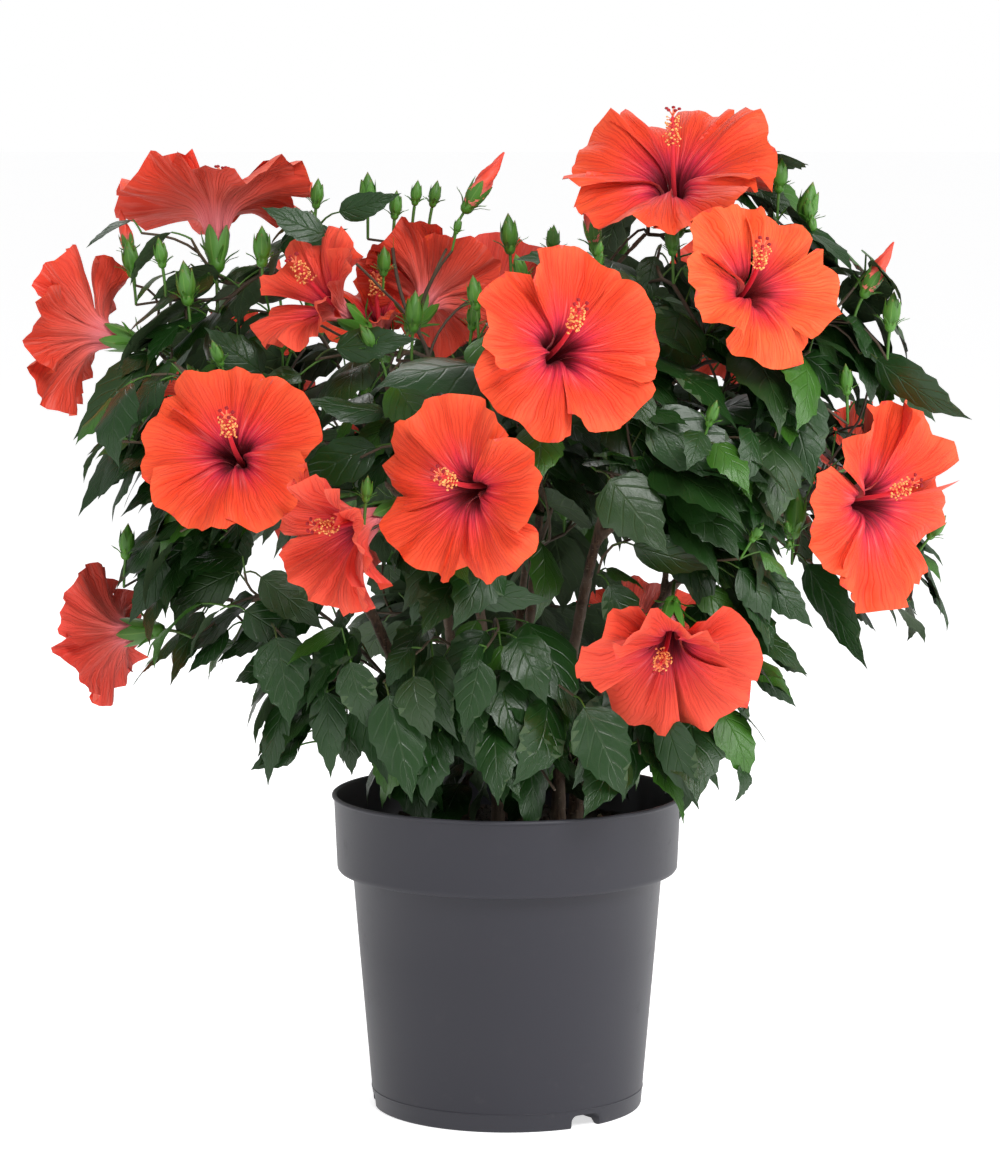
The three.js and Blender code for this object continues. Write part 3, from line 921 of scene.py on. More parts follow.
class Growth:
    """Every shoot of the plant: joints, each with its place, direction and parent."""

    def __init__(self):
        self.tips = []         # the last joints of the seeded shoots
        self.holders = {}      # the joint that each blossom, bud and large leaf hangs on
        self.roots = {}        # the radius of the limb under each first joint
        self.places = []
        self.headings = []
        self.parents = []
        self.lengths = []
        self.masses = []
        self.runs = []

    def add(self, place, heading, parent, mass):
        self.places.append(np.asarray(place, float))
        self.headings.append(unit(heading))
        self.parents.append(parent)
        grown = 0.0
        if parent >= 0:
            grown = self.lengths[parent] + float(np.linalg.norm(place - self.places[parent]))
        self.lengths.append(grown)
        self.masses.append(mass)
        return len(self.places) - 1

    def nearest(self, first, target):
        """The joint from which a shoot reaches the target with least wood and no sharp turn."""
        places = np.array(self.places[first:])
        headings = np.array(self.headings[first:])
        away = target - places
        distance = np.linalg.norm(away, axis=1)
        bend = 1 - np.einsum("ij,ij->i", away, headings) / np.maximum(distance, 1e-6)
        cost = distance * (1 + 0.35 * bend) + 0.4 * np.array(self.lengths[first:])
        return first + int(np.argmin(cost))

    def shoot(self, start, target, mass, lift):
        """Grows one curved shoot from a joint to the target, in short steps."""
        origin = self.places[start]
        distance = float(np.linalg.norm(target - origin))
        heading = unit(self.headings[start] + unit(target - origin) + np.array([0, 0, lift]))
        middle = origin + heading * distance * 0.45
        steps = max(2, round(distance / STEP))
        path = curve_points(origin, middle, target, steps)
        run = [start]
        for before, place in zip(path[:-1], path[1:]):
            run.append(self.add(place, place - before, run[-1], mass))
        self.runs.append(run)
        return run[-1]


def limb_end(mass, middle):
    """Where the wood enters a mass: the place, the heading and the radius of its limb."""
    own = ["bough_" + mass] if "bough_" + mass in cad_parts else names("stem_")
    clouds = [world_points(name) for name in own]
    nearest = min(clouds, key=lambda points: np.linalg.norm(points - middle, axis=1).min())
    order = np.argsort(np.linalg.norm(nearest - middle, axis=1))
    tip = nearest[order[:5]].mean(axis=0)
    further = nearest[order[-5:]].mean(axis=0) if len(own) == 1 else tip - np.array([0, 0, 0.05])
    radius = float(np.linalg.norm(nearest[order[:5]] - tip, axis=1).mean())
    return tip, unit(tip - further), radius


def held_ends(node, mass):
    """Where shoots must end to hold the blossoms, buds and large leaves of a mass."""
    drop = np.array([0, 0, STALK_DROP])
    ends = []
    for index, (base, axes, _) in enumerate(blossom_frames()):
        if BLOSSOMS[index].mass == mass:
            ends.append((base - axes[:, 2] * BLOSSOM_STALK - drop, ("blossom", index)))
    for index, bud in enumerate(BUDS):
        if bud.mass == mass:
            stalk = place_in(node, bud.place) - facing(90, 90 - bud.lean) * BUD_STALK
            ends.append((stalk - drop, ("bud", index)))
    for index, leaf in enumerate(LARGE_LEAVES):
        if leaf.mass == mass:
            foot, way, _ = large_leaf_frame(leaf)
            back = np.array([0, 0.008, -STALK_DROP])
            ends.append((foot - way * LEAF_STALK + back, ("leaf", index)))
    return ends


def add_seeded_ends(ends, tree, low, high, random):
    """Adds the ends of seeded shoots, deep enough in the mass, apart, and out of the blossoms."""
    room = sizes().shoot_room
    wanted = len(ends) + round(float(np.prod(high - low)) * 0.5 / room ** 3) + 3
    for _ in range(MOST_TRIES):
        if len(ends) >= wanted:
            break
        point = low + random.random(3) * (high - low)
        if depth_in(tree, point) < SHOOT_DEPTH or not clearance().clear_of_petals(point[None]):
            continue
        if ends and min(np.linalg.norm(point - end) for end, _ in ends) < room * 0.8:
            continue
        ends.append((point, None))


def grow_mass(grown, node, random):
    """Grows the shoots of one mass from the tip of its limb, the nearest ends first."""
    mass = node.removeprefix("foliage_")
    low, high = (np.array(corner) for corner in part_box(node))
    ends = held_ends(node, mass)
    add_seeded_ends(ends, node_tree([node]), low, high, random)
    tip, heading, radius = limb_end(mass, (low + high) / 2)
    first = grown.add(tip, heading, -1, mass)
    grown.runs.append([first, grown.add(tip + heading * 0.008, heading, first, mass)])
    grown.roots[first] = radius
    ends.sort(key=lambda end: float(np.linalg.norm(end[0] - tip)))
    for point, held in ends:
        start = grown.nearest(first, point)
        if held is None:
            straight = np.linspace(grown.places[start], point, 6)[1:]
            if not clearance().clear_of_petals(straight):
                continue
        last = grown.shoot(start, point, mass, 0.25)
        if held is None:
            grown.tips.append(last)
        else:
            grown.holders[held] = last


def grow_low_shoots(grown, node, random):
    """Grows short shoots out of the foot of one stem."""
    stem = node_tree([node])
    low, high = (np.array(corner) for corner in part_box(node))
    for _ in range(LOW_SHOOTS):
        rise = random.uniform(0.015, 0.110)
        turn = random.random() * math.tau
        spot = low + (high - low) * 0.5
        spot[2] = clearance().soil + rise
        near = np.array(stem.find_nearest(Vector(spot))[0])
        away = np.array([math.cos(turn), math.sin(turn), 0.0])
        start = np.array(stem.find_nearest(Vector(near + away * 0.03))[0])
        first = grown.add(start - away * MM, unit(away + (0, 0, 0.6)), -1, "foot")
        end = start + away * random.uniform(0.016, 0.034) + (0, 0, random.uniform(0.01, 0.03))
        if clearance().clear_of_pot(end):
            grown.tips.append(grown.shoot(first, end, "foot", 0.4))
            grown.roots[first] = LOW_SHOOT_RADIUS


@functools.cache
def growth():
    """The whole branching."""
    random = np.random.default_rng(sizes().seed)
    grown = Growth()
    for node in names("foliage_"):
        grow_mass(grown, node, random)
    for node in names("stem_"):
        grow_low_shoots(grown, node, random)
    return grown


@functools.cache
def joint_radii():
    """Pipe rule: a shoot is as thick as all that grows from it, up to its limb's radius."""
    grown = growth()
    tip = sizes().twig_radius
    power = 2.3
    carried = np.zeros(len(grown.places))
    parents = set(grown.parents)
    for joint in range(len(grown.places) - 1, -1, -1):
        if joint not in parents:
            carried[joint] = tip ** power
        carried[joint] += (tip * 0.25) ** power
        if grown.parents[joint] >= 0:
            carried[grown.parents[joint]] += carried[joint]
    return np.minimum(carried ** (1 / power), max(grown.roots.values()) * 0.9)


# ---- leaves -------------------------------------------------------------------------------

BLADE_SHARES = np.array([0, .07, .15, .24, .33, .42, .50, .58, .66, .74, .82, .91, 1.0])
BLADE_COLUMNS = np.array([-1, -.5, 0, .5, 1])
FIRST_TOOTH = 4
CROWN_MIDDLE = np.array([0.0, 0.0, 0.38])


def blade_outline(random):
    """Half-widths along an egg-shaped, long-pointed blade with coarse teeth, and their places."""
    share = BLADE_SHARES.copy()
    broad = random.uniform(0.52, 0.68)
    width = np.sin(math.pi * share ** broad) * (1 - 0.42 * smooth_rise(share, 0.55, 1.0))
    step = np.arange(len(share))
    teeth = (step >= FIRST_TOOTH) & (step < len(share) - 1)
    depth = random.uniform(0.4, 1.5, teeth.sum())
    width[teeth] *= np.where(step[teeth] % 2 == 0, 1 + 0.065 * depth, 1 - 0.05 * depth)
    width[[0, -1]] = (0.02, 0.0)
    edge = share + np.where(teeth & (step % 2 == 0), 0.026, 0.0)
    return share, width, edge


def blade_grid(length, width, random, limp=1.0):
    """Local points of one blade: across, along and out, with droop, fold, wave and twist."""
    share, half, edge = blade_outline(random)
    droop = random.uniform(0.25, 1.15) * limp
    fold = random.uniform(0.02, 0.28)
    curl = random.uniform(0.05, 0.42)
    wave = random.uniform(0.04, 0.16)
    phase = random.random() * math.tau
    twist = random.uniform(-0.5, 0.5) * limp
    side = random.uniform(-0.10, 0.10)
    column = BLADE_COLUMNS[None, :]
    reach = share[:, None] + (edge - share)[:, None] * np.abs(column)
    across = column * half[:, None] * width / 2
    bend = droop * reach
    out = fold * np.abs(across) - curl * across ** 2 / (width / 2)
    out = out + wave * np.abs(across) * np.sin(phase + 9.5 * reach + (column > 0) * 1.7)
    turn = twist * reach
    across, out = (across * np.cos(turn) - out * np.sin(turn),
                   across * np.sin(turn) + out * np.cos(turn))
    along = length * np.sin(bend) / droop + out * np.sin(bend)
    out = -length * (1 - np.cos(bend)) / droop + out * np.cos(bend)
    across = across + side * length * reach ** 2
    return np.stack([across, along, out], axis=-1)


def place_leaf(joint_place, heading, turn, scale, random):
    """One leaf that clears all else, as its stalk's curve and blade points, or nothing."""
    size = sizes()
    for attempt in range(4):
        side = unit(np.cross(heading, (0.2, 0.1, 0.97)))
        other = np.cross(heading, side)
        angle = turn + attempt * 1.9
        away = math.cos(angle) * side + math.sin(angle) * other
        outward = unit(joint_place - CROWN_MIDDLE)
        stalk_way = unit(away * 0.8 + heading * 0.45 + outward * 0.45 + np.array([0, 0, 0.12]))
        stalk = size.leaf_stalk * scale * random.uniform(0.6, 1.35)
        foot = joint_place + stalk_way * stalk
        level = unit((away * 0.55 + outward * 0.75) * np.array([1, 1, 0.3]))
        pitch = random.uniform(0.15, 0.95)
        way = unit(level - np.array([0, 0, pitch]))
        face = unit(np.array([0, 0, 1.0]) + outward * np.array([0.9, 0.9, 0]))
        roll = random.normal(0, 0.28)
        axes = basis(way, face)
        rolled = axes.copy()
        rolled[:, 0] = axes[:, 0] * math.cos(roll) + axes[:, 2] * math.sin(roll)
        rolled[:, 2] = axes[:, 2] * math.cos(roll) - axes[:, 0] * math.sin(roll)
        length = size.leaf_length * scale * random.uniform(0.62, 1.12)
        width = length * size.leaf_width / size.leaf_length * random.uniform(0.86, 1.14)
        blade = foot + blade_grid(length, width, random) @ rolled.T
        edges = blade[[4, 8]][:, [0, 4]].reshape(4, 3)
        if clearance().allows(np.vstack([edges, blade[[2, 6, 10, 12], 2]])):
            bow = joint_place + stalk_way * stalk * 0.5 + np.array([0, 0, 0.10 * stalk])
            return curve_points(joint_place, bow, foot, 3), blade, rolled[:, 2]
    return None


SIDES = ("left", "right")
TIP_SIZE = 0.62                # the size of a leaf at a shoot's tip, as a share of a full one
TIP_GAIN = 0.38                # what it gains over the growing length behind the tip
GROWING_LENGTH = 0.035
FRESH_LENGTH = 0.012           # leaves this near the tip may be young and pale
FRESH_CHANCE = 0.30
LOW_SHOOT_SIZE = 0.8

# A finished leaf: the piece it belongs to, its stalk's path, its blade's points, which way its
# face looks, and its place in the pattern.
Leaf = namedtuple("Leaf", "side stalk blade out column row")


def side_of(node):
    """Which of the two pieces of leaves a mass belongs to."""
    low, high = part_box(node)
    return SIDES[0] if low[0] + high[0] < 0 else SIDES[1]


def large_leaf(index, leaf, random):
    """One of the planned large leaves, on the stalk that the branching holds ready for it."""
    foot, way, face = large_leaf_frame(leaf)
    width = leaf.length * max(leaf.breadth, NARROWEST)
    blade = foot + blade_grid(leaf.length, width, random, 0.4) @ basis(way, face).T
    start = growth().places[growth().holders["leaf", index]]
    bow = (start + foot) / 2 + np.array([0, 0, 0.004])
    column, row = (int(random.integers(choices)) for choices in (4, 2))
    side = side_of("foliage_" + leaf.mass)
    return Leaf(side, curve_points(start, bow, foot, 3), blade, face, column, row)


@functools.cache
def leaf_plan():
    """Every leaf, and the numbers of the runs that carry at least one."""
    size = sizes()
    grown = growth()
    random = np.random.default_rng(size.seed + 1)
    leaves = [large_leaf(index, leaf, random) for index, leaf in enumerate(LARGE_LEAVES)]
    leafy = set()
    for number, run in enumerate(grown.runs):
        places = np.array([grown.places[joint] for joint in run])
        low_shoot = grown.masses[run[-1]] == "foot"
        side = SIDES[0] if low_shoot else side_of("foliage_" + grown.masses[run[-1]])
        steps = np.linalg.norm(np.diff(places, axis=0), axis=1)
        reach = np.concatenate([[0], np.cumsum(steps)])
        offset = random.uniform(0.3, 1.0) * size.leaf_spacing
        spots = np.append(np.arange(offset, reach[-1], size.leaf_spacing), reach[-1])
        for index, spot in enumerate(spots):
            place = np.array([np.interp(spot, reach, places[:, axis]) for axis in range(3)])
            joint = run[int(np.clip(np.searchsorted(reach, spot), 1, len(run) - 1))]
            to_tip = reach[-1] - spot
            scale = TIP_SIZE + TIP_GAIN * min(1.0, to_tip / GROWING_LENGTH)
            scale = scale + random.normal(0, 0.07)
            scale *= LOW_SHOOT_SIZE if low_shoot else 1.0
            turn = (len(leaves) + index) * GOLDEN_TURN + random.normal(0, 0.3)
            placed = place_leaf(place, grown.headings[joint], turn, scale, random)
            if placed is None:
                continue
            fresh = to_tip < FRESH_LENGTH and random.random() < FRESH_CHANCE
            column = int(random.integers(4))
            row = 3 if fresh else int(random.integers(2))
            leaves.append(Leaf(side, *placed, column, row))
            leafy.add(number)
    return leaves, leafy


@functools.cache
def kept_runs():
    """The runs that carry a leaf, blossom or bud, or a further run that does."""
    grown = growth()
    _, leafy = leaf_plan()
    kept, used = set(), set(grown.holders.values())
    for number in reversed(range(len(grown.runs))):
        run = grown.runs[number]
        if number in leafy or any(joint in used for joint in run[1:]):
            kept.add(number)
            used.add(run[0])
    return kept


# ---- blossoms -----------------------------------------------------------------------------

def petal_profile(fold, opening, margin, rows):
    """Radius, height and slope along a petal, from its narrow claw to its margin."""
    fine = np.linspace(0, 1, 121)
    throat = math.radians(12)
    blade = math.radians(76 - 62 * fold) + opening
    slope = throat + (blade - throat) * smooth_rise(fine, 0.26, 0.52) + \
        margin * smooth_rise(fine, 0.55, 1.0)
    radius = np.concatenate([[0], np.cumsum(np.sin(slope[:-1]))]) / 120
    height = np.concatenate([[0], np.cumsum(np.cos(slope[:-1]))]) / 120
    return (np.interp(rows, fine, values) for values in (radius, height, slope))


def waves(random, places, steps):
    """A sum of waves, each with its own height and pace and a random start."""
    return sum(height * np.sin(random.random() * math.tau + places * pace) for height, pace in steps)


def petal_grid(blossom, turn, random, rows=19, columns=23):
    """Local points and outward directions of one petal, with the blossom's axis as z."""
    share = np.linspace(0, 1, rows)[:, None]
    across = np.linspace(-1, 1, columns)[None, :]
    wide = np.abs(across)
    opening = random.uniform(-0.18, 0.12)
    margin = random.uniform(-0.10, 0.80)
    tip = 1 - 0.13 * wide ** 3.0 + waves(random, across, [(0.034, 4.0), (0.018, 11.0)])
    along = share * (1 + (tip - 1) * share)
    radius, height, slope = petal_profile(blossom.fold, opening, margin, along.ravel())
    radius, height, slope = (values.reshape(rows, columns) for values in (radius, height, slope))
    reach = 0.65 + 0.1 * blossom.fold
    claw, lobe = math.radians(40), math.radians(blossom.lobe)
    half = claw + (lobe - claw) * smooth_rise(along, 0.10, 0.62)
    angle = turn + across * half + 0.05 * waves(random, along, [(1.0, 3.0)])
    ruffle = smooth_rise(along, 0.42, 1.0) ** 1.3 + 0.5 * smooth_rise(wide, 0.5, 1.0) * along
    lift = 0.035 * across * along
    lift = lift - 0.030 * np.exp(-(across / 0.30) ** 2) * smooth_rise(along, 0.1, 0.5)
    lift = lift + 0.060 * ruffle * waves(random, across + along * 0.4, [(1.0, 4.0)])
    lift = lift + 0.042 * ruffle * waves(random, across - along * 0.3, [(1.0, 8.5)])
    lift = lift + 0.021 * ruffle ** 2 * waves(random, across, [(1.0, 19.0)])
    pleats = smooth_rise(along, 0.25, 0.6) * (1 - 0.5 * smooth_rise(along, 0.7, 1.0))
    lift = lift + 0.011 * pleats * waves(random, across, [(1.0, 15.0), (0.8, 24.0)])
    lift = lift + 0.06 * (wide ** 2 - 0.3) * smooth_rise(along, 0.05, 0.4) * (1 - along)
    radius = 0.030 + radius - lift * np.cos(slope)
    height = height + lift * np.sin(slope)
    points = np.stack([radius * np.cos(angle), radius * np.sin(angle), height], axis=-1)
    normals = np.stack([-np.cos(slope) * np.cos(angle), -np.cos(slope) * np.sin(angle),
                        np.sin(slope) * np.ones_like(angle)], axis=-1)
    return points * blossom.width / 2 / reach, normals


def thin_sheet(cloud, points, normals, thickness, front_tile, back_tile):
    """Two faces with a shared edge, so that a thin sheet is closed all round."""
    rows, columns = points.shape[:2]
    inner = np.zeros((rows, columns, 1))
    inner[1:-1, 1:-1] = 0.5
    cloud.sheet(points + normals * thickness * inner, front_tile)
    back = (points - normals * thickness * inner)[:, ::-1]
    cloud.sheet(back, back_tile)


def icosphere():
    """The twelve corners and twenty faces of a small round body."""
    golden = (1 + 5 ** 0.5) / 2
    corners = []
    for a in (-1, 1):
        for b in (-golden, golden):
            corners += [(0, a, b), (a, b, 0), (b, 0, a)]
    corners = np.array(corners, float) / math.hypot(1, golden)
    faces = []
    for i in range(12):
        for j in range(i + 1, 12):
            for k in range(j + 1, 12):
                trio = corners[[i, j, k]]
                sides = [np.linalg.norm(trio[m] - trio[m - 1]) for m in range(3)]
                if max(sides) < 1.1:
                    out = np.linalg.det(trio) > 0
                    faces.append((i, j, k) if out else (i, k, j))
    return corners, np.array(faces)


def add_grain(cloud, shape, centre, axes, tile):
    """A small round body with its own lengths along three axes."""
    corners, faces = shape
    points = centre + corners @ axes.T
    cloud.add_faces(faces, np.full((len(faces), 3, 2), 0.5) + corners[faces][..., :2] * 0.3, tile)
    cloud.points.append(points)
    cloud.count += len(points)


def spoke(tangent, axes, angle):
    """The way out from the column at an angle round it."""
    side = unit(np.cross(tangent, axes[:, 0]))
    return math.cos(angle) * side + math.sin(angle) * np.cross(tangent, side)


def column_path(blossom, axes, base, radius, random):
    """The stamen column: out along the blossom's axis, its end turned up a little."""
    out = axes[:, 2]
    length = radius * blossom.column
    end = base + out * length + axes[:, 1] * length * 0.20 + axes[:, 0] * length * random.normal(0, .05)
    return curve_points(base, base + out * length * 0.6, end, 10)


STAMENS = 58
STIGMAS = 5


def add_column(parts, blossom, axes, base, radius, random, shape):
    """The red column, the stamens round its outer part and the stigmas at its tip."""
    path = column_path(blossom, axes, base, radius, random)
    tube(parts["columns"], path, np.linspace(2.1, 1.2, len(path)) * MM, 8, (int(blossom.tint), 0))
    for index in range(STAMENS):
        spot = (0.72 + 0.26 * index / STAMENS) * (len(path) - 1)
        low = int(spot)
        following = path[min(low + 1, len(path) - 1)]
        place = path[low] + (following - path[low]) * (spot - low)
        tangent = unit(following - path[low])
        away = spoke(tangent, axes, index * GOLDEN_TURN)
        way = unit(away + tangent * random.uniform(0.1, 0.9))
        end = place + way * (random.uniform(3.4, 6.6) * MM)
        middle = (place + end) / 2 + tangent * 0.3 * MM
        tube(parts["filaments"], np.array([place, middle, end]), [0.26 * MM] * 3, 3, (0, 1))
        grain = basis(way, tangent) * np.array([1.0, 0.66, 0.75]) * random.uniform(0.8, 1.2) * MM
        add_grain(parts["anthers"], shape, end, grain, (index % TILES, 0))
    tangent = unit(path[-1] - path[-2])
    for index in range(STIGMAS):
        away = spoke(tangent, axes, index * math.tau / STIGMAS + random.normal(0, 0.1))
        end = path[-1] + (tangent * 5.6 + away * 4.4) * MM
        middle = path[-1] + (tangent * 3.6 + away * 1.0) * MM
        tube(parts["filaments"], curve_points(path[-1], middle, end, 3), [0.42 * MM] * 4, 5, (1, 1))
        grain = basis(away, tangent) * np.array([1.5, 1.5, 1.1]) * MM
        add_grain(parts["stigmas"], shape, end, grain, (index % TILES, 0))


def add_sepal(cloud, origin, axes, turn, length, reach, base_radius, joined, tile, half=36.0):
    """One pointed green lobe that hugs the foot of a blossom or bud and spreads at its tip."""
    rows, columns = 7, 5
    share = np.linspace(0, 1, rows)[:, None]
    across = np.linspace(-1, 1, columns)[None, :]
    taper = np.clip((share - joined) / (1.04 - joined), 0, 1)
    width = (1 - taper ** 1.35) * math.radians(half)
    spread = reach * smooth_rise(share, 0.4, 1.0)
    radius = base_radius * (0.72 + 0.5 * smooth_rise(share, 0, 0.5)) + spread * length
    radius = radius * np.ones_like(across)
    angle = turn + across * width
    height = (share * length) * (1 - 0.25 * reach * share) * np.ones_like(across)
    points = np.stack([radius * np.cos(angle), radius * np.sin(angle), height], axis=-1)
    out = np.stack([np.cos(angle), np.sin(angle), -0.5 * reach * np.ones_like(angle)], axis=-1)
    thin_sheet(cloud, origin + points @ axes.T, out @ axes.T, 0.5 * MM, tile, tile)


def add_calyx(cloud, origin, axes, size, reach, random):
    """A five-lobed green cup with narrow bracts round its foot, closed by a small dome."""
    turn = random.random() * math.tau
    length = 0.0265 * size
    foot = 0.0058 * size
    for lobe in range(5):
        angle = turn + lobe * math.tau / 5
        tile = (random.integers(4), 0)
        add_sepal(cloud, origin, axes, angle, length, reach, foot * 1.18, 0.5, tile, 37.0)
    for bract in range(7):
        angle = turn + (bract + 0.4) * math.tau / 7
        tile = (random.integers(4), 1)
        add_sepal(cloud, origin, axes, angle, length * random.uniform(0.36, 0.5), 0.75,
                  foot * 1.3, 0.1, tile, 10.0)
    heights = np.array([-1.0, -0.8, -0.35, 0.15, 0.5]) * foot
    radii = np.array([0.30, 0.62, 0.86, 0.92, 0.90]) * foot * 1.1
    spindle(cloud, origin, axes, heights, radii, (0, 2))


def add_bud(parts, base, axes, length, coloured, random):
    """A closed green bud, or a rolled, pointed bud that stands out of its green cup."""
    turns_of_roll = random.uniform(0.5, 0.9)
    sides = 15 if coloured else 10
    share = np.linspace(0, 1, 13 if coloured else 9)
    if coloured:
        body = np.sin(math.pi * np.clip(share * 0.93 + 0.04, 0, 1) ** 0.62) ** 0.9
        radius = length * 0.150 * body * (1 - 0.12 * share) + 0.2 * MM
        ridges, depth = 3, 0.13
    else:
        body = np.sin(math.pi * np.clip(share * 0.97 + 0.03, 0, 1) ** 0.72) ** 0.8
        radius = length * 0.25 * body * (1 - 0.35 * share ** 2) + 0.15 * MM
        ridges, depth = 5, 0.12
    turn = np.arange(sides) * math.tau / sides
    swell = 1 + depth * np.cos(turn[None, :] * ridges) * smooth_rise(share, 0.05, 0.4)[:, None]
    roll = turns_of_roll * math.tau * share if coloured else 0.0
    tile = (random.integers(4), random.integers(4) if coloured else 2)
    target = parts["rolled"] if coloured else parts["green"]
    spindle(target, base, axes, share * length, radius[:, None] * swell, tile, roll, sides)
    cup = length / 0.056 if coloured else length / 0.034
    add_calyx(parts["green"], base, axes, cup, 0.03 if coloured else -0.03, random)


def bud_axes(way):
    """The basis of a bud that points along way, with its ridges turned to the front."""
    axes = basis(way, unit(np.array([0.3, -1, 0.2])))[:, [0, 2, 1]]
    axes[:, 1] *= -1
    return axes


def hang(cloud, joint, end, way, radius, tile):
    """A green stalk from a joint to a blossom or bud, arriving along its axis."""
    start = growth().places[joint]
    distance = float(np.linalg.norm(end - start))
    path = curve_points(start, end - way * distance * 0.55, end, 6)
    tube(cloud, path, np.linspace(radius, radius * 1.15, len(path)), 6, tile)


LOWEST_BUD = 0.36              # seeded buds stand above this height
TOP_ROOM = 0.010               # and end this far below the top of the plant


# ---- operators ----------------------------------------------------------------------------

class ShrubOperator:
    bl_options = {"REGISTER", "UNDO"}


class SHRUB_OT_twigs(ShrubOperator, bpy.types.Operator):
    """Twigs that carry the branching on from the boughs"""

    bl_idname = "shrub.twigs"
    bl_label = "Twigs"

    def execute(self, context):
        grown = growth()
        radii = joint_radii()
        cloud = Cloud()
        for index in sorted(kept_runs()):
            run = grown.runs[index]
            path = np.array([grown.places[joint] for joint in run])
            thickness = radii[run].copy()
            thickness[0] = min(thickness[0], thickness[1] * 1.15)
            sides = 7 if thickness[0] > 1.6 * MM else 5
            tube(cloud, path, thickness, sides, (run[0] % 4, run[0] // 4 % 4))
        twigs = cloud.build("twigs", twig_material())
        declare(twigs, "bark")
        return {"FINISHED"}


class SHRUB_OT_leaves(ShrubOperator, bpy.types.Operator):
    """Toothed, drooping leaves dealt out along every twig, with their stalks"""

    bl_idname = "shrub.leaves"
    bl_label = "Leaves"

    def execute(self, context):
        blades = {side: Cloud() for side in SIDES}
        stalks = Cloud()
        leaves, _ = leaf_plan()
        for leaf in leaves:
            cloud = blades[leaf.side]
            cloud.sheet(leaf.blade, (leaf.column, leaf.row))
            below = leaf.blade[:, ::-2].copy()
            below[1:-1, 1] -= leaf.out * 0.35 * MM
            cloud.sheet(below, (leaf.column, max(leaf.row, 2)))
            tube(stalks, leaf.stalk, np.array([0.95, 0.8, 0.75, 0.7]) * MM, 3, (leaf.column, 1))
        for side, cloud in blades.items():
            masses = [node for node in names("foliage_") if side_of(node) == side]
            declare(cloud.build("leaves_" + side, leaf_material()), "foliage", *masses)
        declare(stalks.build("leaf_stalks", stalk_material()), "foliage")
        return {"FINISHED"}


class SHRUB_OT_blossoms(ShrubOperator, bpy.types.Operator):
    """Five-petalled blossoms with stamen columns, green cups and stalks, and all the buds"""

    bl_idname = "shrub.blossoms"
    bl_label = "Blossoms and buds"

    def execute(self, context):
        random = np.random.default_rng(sizes().seed + 2)
        kinds = ("petals", "columns", "filaments", "anthers", "stigmas", "green", "rolled", "stalks")
        parts = {kind: Cloud() for kind in kinds}
        self.add_blossoms(parts, random)
        self.add_planned_buds(parts, random)
        self.add_seeded_buds(parts, random)
        self.finish(parts)
        return {"FINISHED"}

    def add_blossoms(self, parts, random):
        shape = icosphere()
        for index, blossom in enumerate(BLOSSOMS):
            base, axes, radius = blossom_frames()[index]
            out = axes[:, 2]
            for petal in range(5):
                turn = math.radians(blossom.roll) + petal * math.tau / 5
                points, normals = petal_grid(blossom, turn + random.normal(0, 0.05), random)
                front = (blossom.tint, int(random.integers(2)))
                back = (blossom.tint, 2 + int(random.integers(2)))
                points, normals = points[:, ::-1], normals[:, ::-1]
                thin_sheet(parts["petals"], base + points @ axes.T, normals @ axes.T,
                           0.5 * MM, front, back)
            add_column(parts, blossom, axes, base, radius, random, shape)
            foot = base - out * 2.5 * MM
            add_calyx(parts["green"], foot, axes, 1.0, 0.07, random)
            joint = growth().holders["blossom", index]
            hang(parts["stalks"], joint, foot - out * 3.0 * MM, out, 1.15 * MM, (0, 0))

    def add_planned_buds(self, parts, random):
        for index, bud in enumerate(BUDS):
            way = facing(90, 90 - bud.lean)
            base = place_in("foliage_" + bud.mass, bud.place)
            add_bud(parts, base, bud_axes(way), bud.length, bud.coloured, random)
            joint = growth().holders["bud", index]
            hang(parts["stalks"], joint, base - way * 3 * MM, way, 0.95 * MM, (1, 0))

    def add_seeded_buds(self, parts, random):
        """Small green buds at the tips of shoots, most of them in the upper crown."""
        grown = growth()
        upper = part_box("foliage_top_left")[0].z
        shown = {grown.runs[number][-1] for number in kept_runs()}
        for joint in grown.tips:
            if joint not in shown:
                continue
            place = grown.places[joint]
            chance = 0.75 if place[2] > upper else 0.22
            if random.random() > chance or place[2] < LOWEST_BUD:
                continue
            for _ in range(int(random.integers(1, 3))):
                way = unit(grown.headings[joint] * 0.5 + random.normal(0, 0.30, 3) + (0, 0, 1.0))
                length = random.uniform(0.010, 0.019)
                base = place + way * random.uniform(0.010, 0.020)
                span = np.linspace(base, base + way * length, 3)
                free = clearance().clear_of_petals(span) and clearance().clear_to_front(span)
                if not free or span[-1][2] > CAD_BOX[1][2] - TOP_ROOM:
                    continue
                add_bud(parts, base, bud_axes(way), length, False, random)
                hang(parts["stalks"], joint, base - way * 2 * MM, way, 0.8 * MM, (2, 0))

    def finish(self, parts):
        finishes = {
            "petals": ("petals", petal_material(), "blossom"),
            "columns": ("stamen_columns", speckled(
                "column_red", (0.78, 0.045, 0.06), (0.62, 0.01, 0.03), 0.45), "blossom"),
            "filaments": ("filaments", speckled(
                "filament_orange", (0.95, 0.30, 0.14), (0.85, 0.13, 0.07), 0.5), "blossom"),
            "anthers": ("anthers", speckled(
                "pollen", (0.96, 0.50, 0.16), (0.92, 0.34, 0.10), 0.85), "blossom"),
            "stigmas": ("stigmas", speckled(
                "stigma_red", (0.42, 0.006, 0.012), (0.25, 0.003, 0.01), 0.7), "blossom"),
            "green": ("calyxes_and_green_buds", green_material(), "foliage"),
            "rolled": ("coloured_buds", rolled_petal_material(), "blossom"),
            "stalks": ("blossom_stalks", stalk_material(), "foliage"),
        }
        for kind, (name, material, slot) in finishes.items():
            declare(parts[kind].build(name, material), slot)


